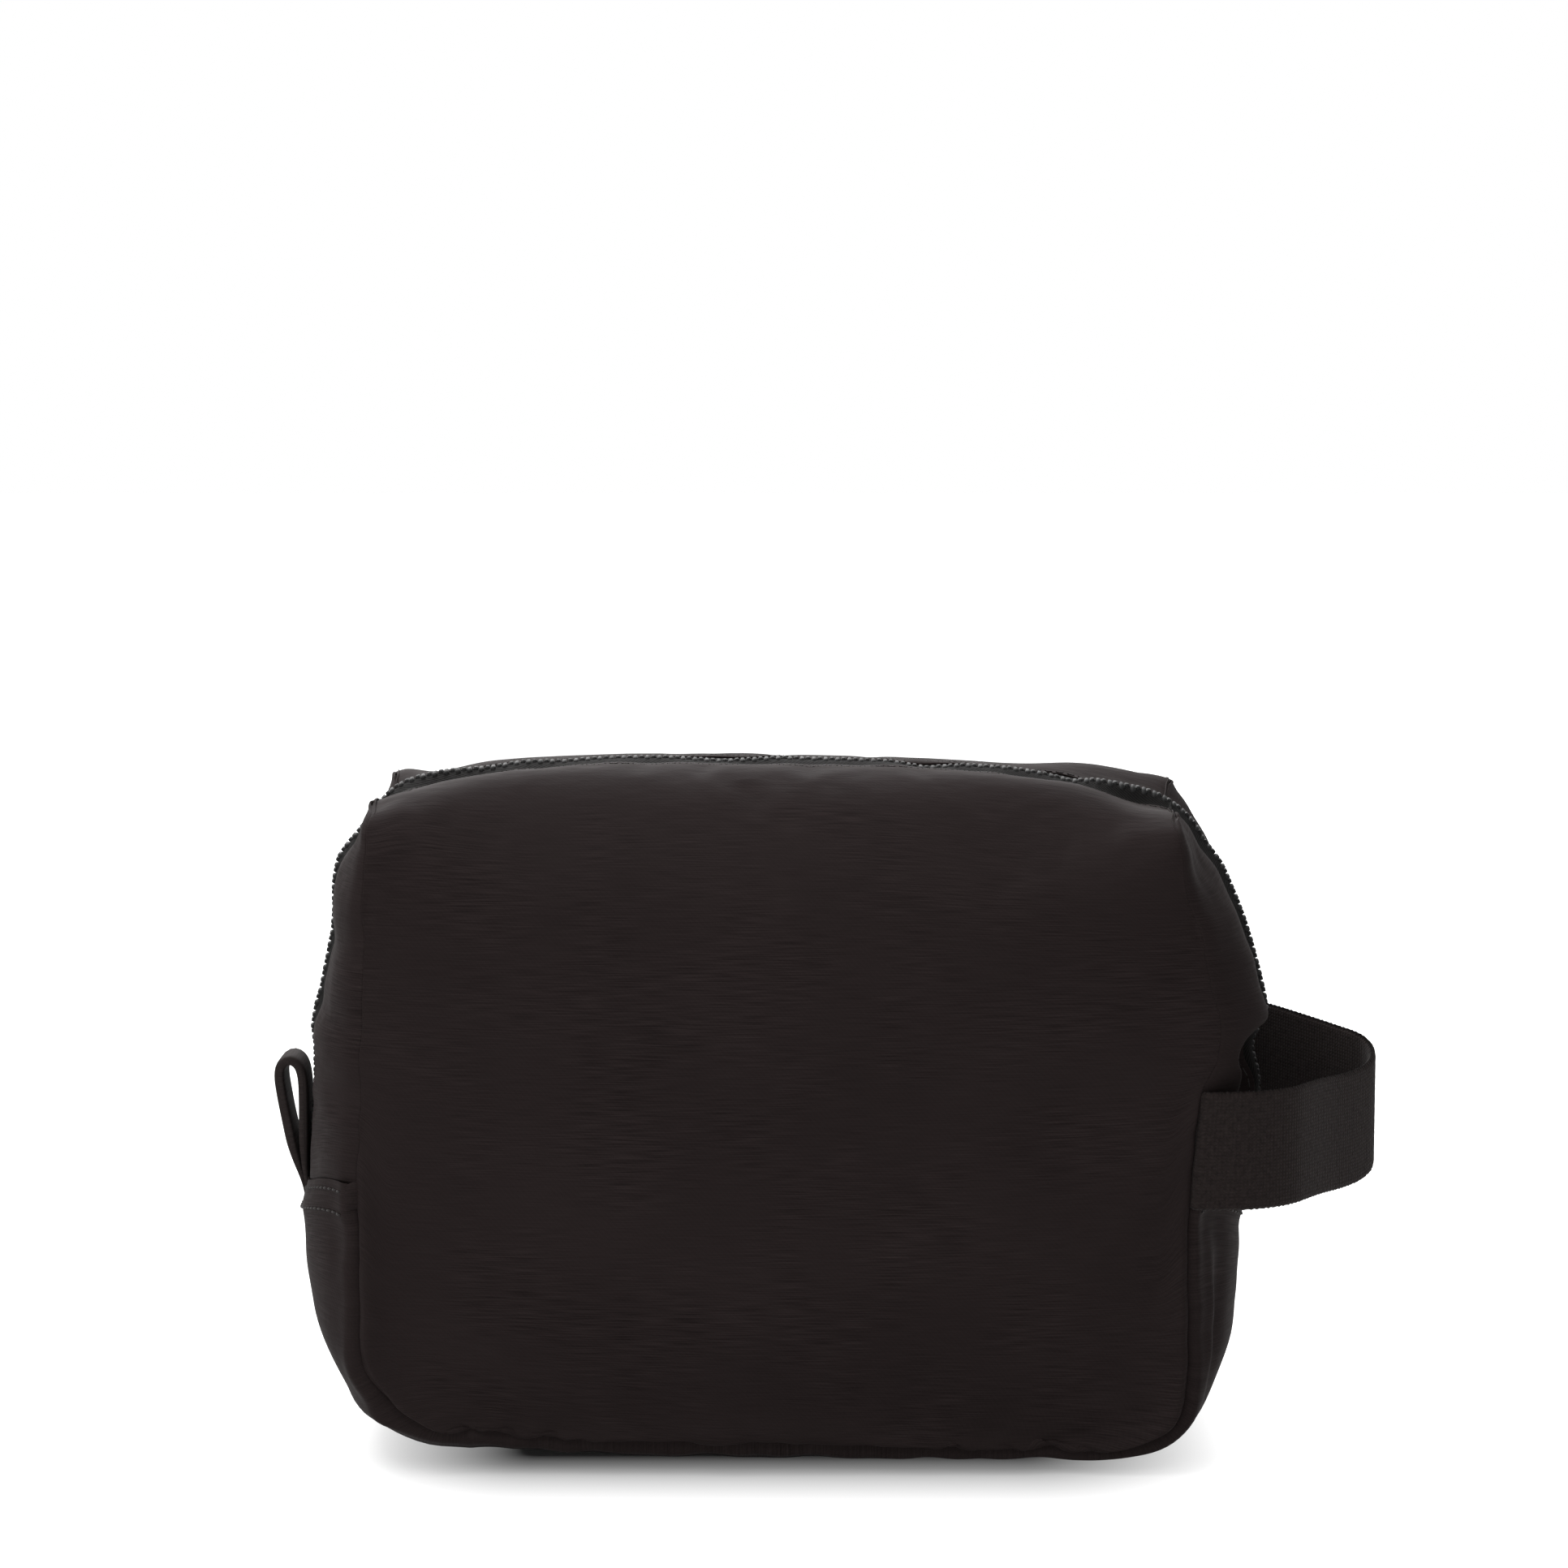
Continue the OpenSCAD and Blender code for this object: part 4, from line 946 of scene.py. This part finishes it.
# Stitching: black thread in short even stitches, one row along each edge of the zip and two rows across each
# side seam, where the gusset is sewn down over the zip's ends.
thread, thread_shader, thread_uv = new_finish("thread", Sheen_Weight=0.02, Specular_IOR_Level=0.15)
twist = thread_uv.bands("DIAGONAL", 900.0)
feed(thread_shader, Base_Color=(twist * 0.6 + 0.6).tinted((0.013, 0.0105, 0.010, 1)),
     Roughness=0.55 + twist * 0.2, Normal=twist.bump(0.3, 0.0001))
STITCH_L, STITCH_STEP, THREAD_R = 2.3, 3.1, 0.24
STITCH = [(-0.5, 0.35, -0.9), (-0.36, 0.9, 0.0), (0.0, 1.0, 0.35), (0.36, 0.9, 0.0), (0.5, 0.35, -0.9)]


def stitch_rows(name, rows):
    """Stitches along lines of points, each line with the cloth's outward directions."""
    points, faces, uv = [], [], []
    turn = np.linspace(0, 2 * math.pi, 7)[:-1]
    for line, normal in rows:
        run = np.concatenate([[0], np.cumsum(np.linalg.norm(np.diff(line, axis=0), axis=1))])

        def at(values, where):
            return np.array([np.interp(where, run, values[:, k]) for k in range(3)])

        for middle in np.arange(2.5, run[-1] - 2.5, STITCH_STEP):
            ahead = unit(at(line, middle + 1) - at(line, middle - 1))
            up_way = unit(at(normal, middle))
            beside = np.cross(ahead, up_way)
            faces += ring_faces(len(STITCH), len(turn), len(points))
            for share, wide, lift in STITCH:
                centre = at(line, middle + share * STITCH_L) + up_way * THREAD_R * (lift + 0.35)
                for q in turn:
                    points.append(centre + THREAD_R * wide * (np.cos(q) * beside + np.sin(q) * up_way))
                    uv.append((middle + share * STITCH_L, q * THREAD_R))
    return new_piece(name, sit(np.array(points)), [f[::-1] for f in faces], uv, thread)


for half, flip in (("front", 1), ("back", -1)):
    hem, inner = zip_hem(half)
    inset = unit(inner - hem)
    normal = np.cross(unit(np.gradient(hem, axis=0)), inset)
    line = (hem + inset * 2.2) * np.array([1, flip, 1])
    piece = stitch_rows(f"{half}_zip_stitches", [(line, normal * np.array([1, flip, 1]))])
    fold_with(piece)
gusset_out = grid_normals(gusset)
rows = [(gusset[k, 2:-2] + gusset_out[k, 2:-2] * 0.45, gusset_out[k, 2:-2]) for k in (1, 3, -2, -4)]
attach(stitch_rows("side_seam_stitches", rows), "bag")

# Webbing loop: black cotton-like webbing with a ribbed selvage, both ends sewn into the right-hand side
# seams, front and back. It stands out from the bag. The real loop swings up and down about its roots; here it
# is one fixed mesh.
webbing, webbing_shader, webbing_uv = new_finish("webbing", Sheen_Weight=0.04, Sheen_Roughness=0.5,
                                                 Specular_IOR_Level=0.05)
RIB_PITCH, YARN_PITCH = 1.7, 1.5
fuzz = webbing_uv.noise(2200.0, 2.0, 0.7)
fleck = webbing_uv.noise(700.0, 2.0, 0.7)
picks = webbing_uv.bands("X", 310.0, Distortion=1.5)
yarns = webbing_uv.bands("Y", 340.0, Distortion=1.2)
webbing_tone = fleck * 0.9 + fuzz * 0.5 + picks * yarns * 0.3 + 0.22
feed(webbing_shader, Base_Color=webbing_tone.tinted((0.0155, 0.0118, 0.0112, 1)),
     Roughness=0.95 - fleck * 0.15, Normal=(fuzz * 0.5 + picks * yarns * 0.6 + fleck * 0.3).bump(0.6, 0.0004))
STRAP_W, STRAP_T, STRAP_H = 31.2, 1.9, 85.5


def filleted(corners, radii):
    """A path through corners that are rounded by the given radii."""
    path = [corners[0]]
    for before, corner, after, radius in zip(corners, corners[1:], corners[2:], radii):
        a, b = unit(before - corner), unit(after - corner)
        half_angle = math.acos(np.clip(a @ b, -1, 1)) / 2
        centre = corner + unit(a + b) * radius / math.sin(half_angle)
        p, q = (corner + v * radius / math.tan(half_angle) - centre for v in (a, b))
        k = np.linspace(0, 1, 16)[:, None]
        path += list(centre + radius * unit(p * (1 - k) + q * k))
    return np.array(path + [corners[-1]])


strap_corners = np.array([(110.4, -45), (110.4, -50.2), (129.0, -50.2), (164.4, 0), (129.0, 50.2),
                          (110.4, 50.2), (110.4, 45)], float)
strap_line = filleted(strap_corners, (1.6, 26, 13, 26, 1.6))
strap_length = np.linalg.norm(np.diff(strap_line, axis=0), axis=1).sum()
stations = int(strap_length / 0.7)
strap_line = along(strap_line, stations)
strap_run = np.linspace(0, strap_length, stations)
strap_way = unit(np.gradient(strap_line, axis=0))
strap_out = np.column_stack([strap_way[:, 1], -strap_way[:, 0]])
ACROSS = 40
w = np.linspace(-1, 1, ACROSS)
ring_w = np.concatenate([w, w[::-1]])
ring_side = np.concatenate([np.ones(ACROSS), -np.ones(ACROSS)])
selvage = 1 + 0.12 * hump(np.abs(ring_w), 0.93, 0.04)
thick = STRAP_T / 2 * (1 - np.abs(ring_w) ** 24) ** 0.5 * selvage
across_mm = ring_w * STRAP_W / 2
rib = np.sin(2 * math.pi * strap_run / RIB_PITCH)
half_step = (np.floor(across_mm / YARN_PITCH) % 2) * math.pi
woven = 0.07 * np.sin(2 * math.pi * strap_run[:, None] / RIB_PITCH + half_step) * (0.4 + 0.6 * np.abs(
    np.sin(math.pi * across_mm / YARN_PITCH)))
offset = ring_side * (thick + woven * (np.abs(ring_w) < 0.97))
edge = across_mm + np.sign(ring_w) * 0.16 * rib[:, None] * (np.abs(ring_w) > 0.9)
sway = waves(strap_run, 5, (60, 34), (0.25, 0.2)) * np.sin(math.pi * strap_run / strap_length)
points = np.dstack([strap_line[:, :1] + strap_out[:, :1] * (offset + sway[:, None]),
                    strap_line[:, 1:] + strap_out[:, 1:] * (offset + sway[:, None]), STRAP_H + edge])
rooted = 1 - smooth((points[..., 0] - 109) / 16)
points[..., 0] -= rooted * (1.3 - 2.6 * (points[..., 2] - STRAP_H) / STRAP_W) * (points[..., 1] < 0)
points[..., 2] += 0.7 + 5.6 * smooth((points[..., 1] + 12) / 23) + 3.2 * smooth((points[..., 1] - 4) / 36)
points[..., 2] -= 0.9 * np.exp(-((points[..., 1] + 17) / 11) ** 2)
sides = 2 * ACROSS
uv = np.dstack([np.repeat(strap_run[:, None], sides, 1),
                np.repeat((across_mm + 40 * (ring_side < 0))[None], stations, 0)])
strap = new_piece("webbing_loop", points, ring_faces(stations, sides), uv, webbing)
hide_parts("handle_loop", "handle_root_front", "handle_root_back")
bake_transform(strap)

# End tab: a narrow strip of the nylon folded into a loop, sewn in under the gusset's fold at the left end of
# the zip, where it stands up against the side.
tab_line = np.array([(-127.2, 60), (-127.4, 64), (-128.4, 69), (-130.6, 75), (-132.8, 84.8), (-134.2, 92.6),
                     (-134.9, 97.5), (-134.4, 100.8), (-132.1, 102.4), (-129.7, 101.2), (-128.5, 98),
                     (-128.2, 92), (-128.3, 85), (-128.4, 75), (-127.6, 69), (-126.9, 64), (-126.7, 60)])
for _ in range(3):
    middle = (tab_line[1:] + tab_line[:-1]) / 2
    tab_line = np.vstack([tab_line[:1], np.stack([middle[:-1] * 0.5 + tab_line[1:-1] * 0.5, middle[1:] * 0.5 +
                          tab_line[1:-1] * 0.5], axis=1).reshape(-1, 2), tab_line[-1:]])
TAB_STATIONS, TAB_SIDES, TAB_HALF_W = 90, 28, 7.0
# The tab's copy of the nylon is coloured lighter than the shell's: painted light, for the light from the left
# falling on the tab.
painted_lighter_nylon = crinkle_nylon("nylon_painted_lighter", (0.0235, 0.0190, 0.0185, 1))
tab_line = along(tab_line, TAB_STATIONS)
tab_way = unit(np.gradient(tab_line, axis=0))
tab_side = np.column_stack([tab_way[:, 1], -tab_way[:, 0]])
turn = np.linspace(0, 2 * math.pi, TAB_SIDES + 1)[:-1]
ring_y = np.sign(np.cos(turn)) * np.abs(np.cos(turn)) ** 0.3
ring_t = np.sign(np.sin(turn)) * np.abs(np.sin(turn)) ** 0.4
tab_half_t = 0.6 + 0.8 * smooth((tab_line[:, 1] - 66) / 16)
tab_run = np.linspace(0, 1, TAB_STATIONS) * np.linalg.norm(np.diff(tab_line, axis=0), axis=1).sum()
pinch = 1 + 0.05 * waves(tab_run, 3, (23, 11), (0.6, 0.4))
points = np.dstack([tab_line[:, :1] + tab_side[:, :1] * ring_t * tab_half_t[:, None],
                    ring_y * TAB_HALF_W * pinch[:, None],
                    tab_line[:, 1:] + tab_side[:, 1:] * ring_t * tab_half_t[:, None]])
uv = np.dstack([np.repeat((ring_y * TAB_HALF_W + 20 * (ring_t < 0))[None], TAB_STATIONS, 0),
                np.repeat(tab_run[:, None], TAB_SIDES, 1)])
tab = new_piece("folded_tab", points, ring_faces(TAB_STATIONS, TAB_SIDES), uv, painted_lighter_nylon)
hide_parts("end_tab")
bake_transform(tab)

# Lining: thin dark polyester in three pieces that follow the two panels and the gusset just inside the shell,
# sewn to it at the zip and along the seams.
lining, lining_shader, lining_uv = new_finish("lining", Sheen_Weight=0.05, Specular_IOR_Level=0.3)
plain_weave = lining_uv.bands("X", 700.0) + lining_uv.bands("Y", 700.0)
creases = lining_uv.noise(60.0, 4.0, 0.6)
feed(lining_shader, Base_Color=(plain_weave * 0.2 + creases * 0.7 + 0.4).tinted((0.030, 0.029, 0.030, 1)),
     Roughness=0.6 + plain_weave * 0.08, Normal=(creases * 0.8 + plain_weave * 0.05).bump(0.5, 0.0008))
LINING_GAP, LINING_T = 2.0, 0.4


def lining_piece(name, shell, *nodes):
    grid = shell - grid_normals(shell) * LINING_GAP
    piece = cloth_piece(name, sit(grid), lining, LINING_T)
    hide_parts(*nodes)
    return piece


for half in ("front", "back"):
    shell = for_half(smooth_panels[half][7:-2:2, 2:-2:2], half)
    fold_with(lining_piece(f"{half}_lining", shell, f"lining_{half}_lower", f"lining_{half}_upper"))
shell = smooth_gusset[3:-2:2, 6:-6:2].copy()
shell[..., 2] = np.maximum(shell[..., 2], FLOOR_GAP)
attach(lining_piece("gusset_lining", shell, "lining_gusset"), "bag")
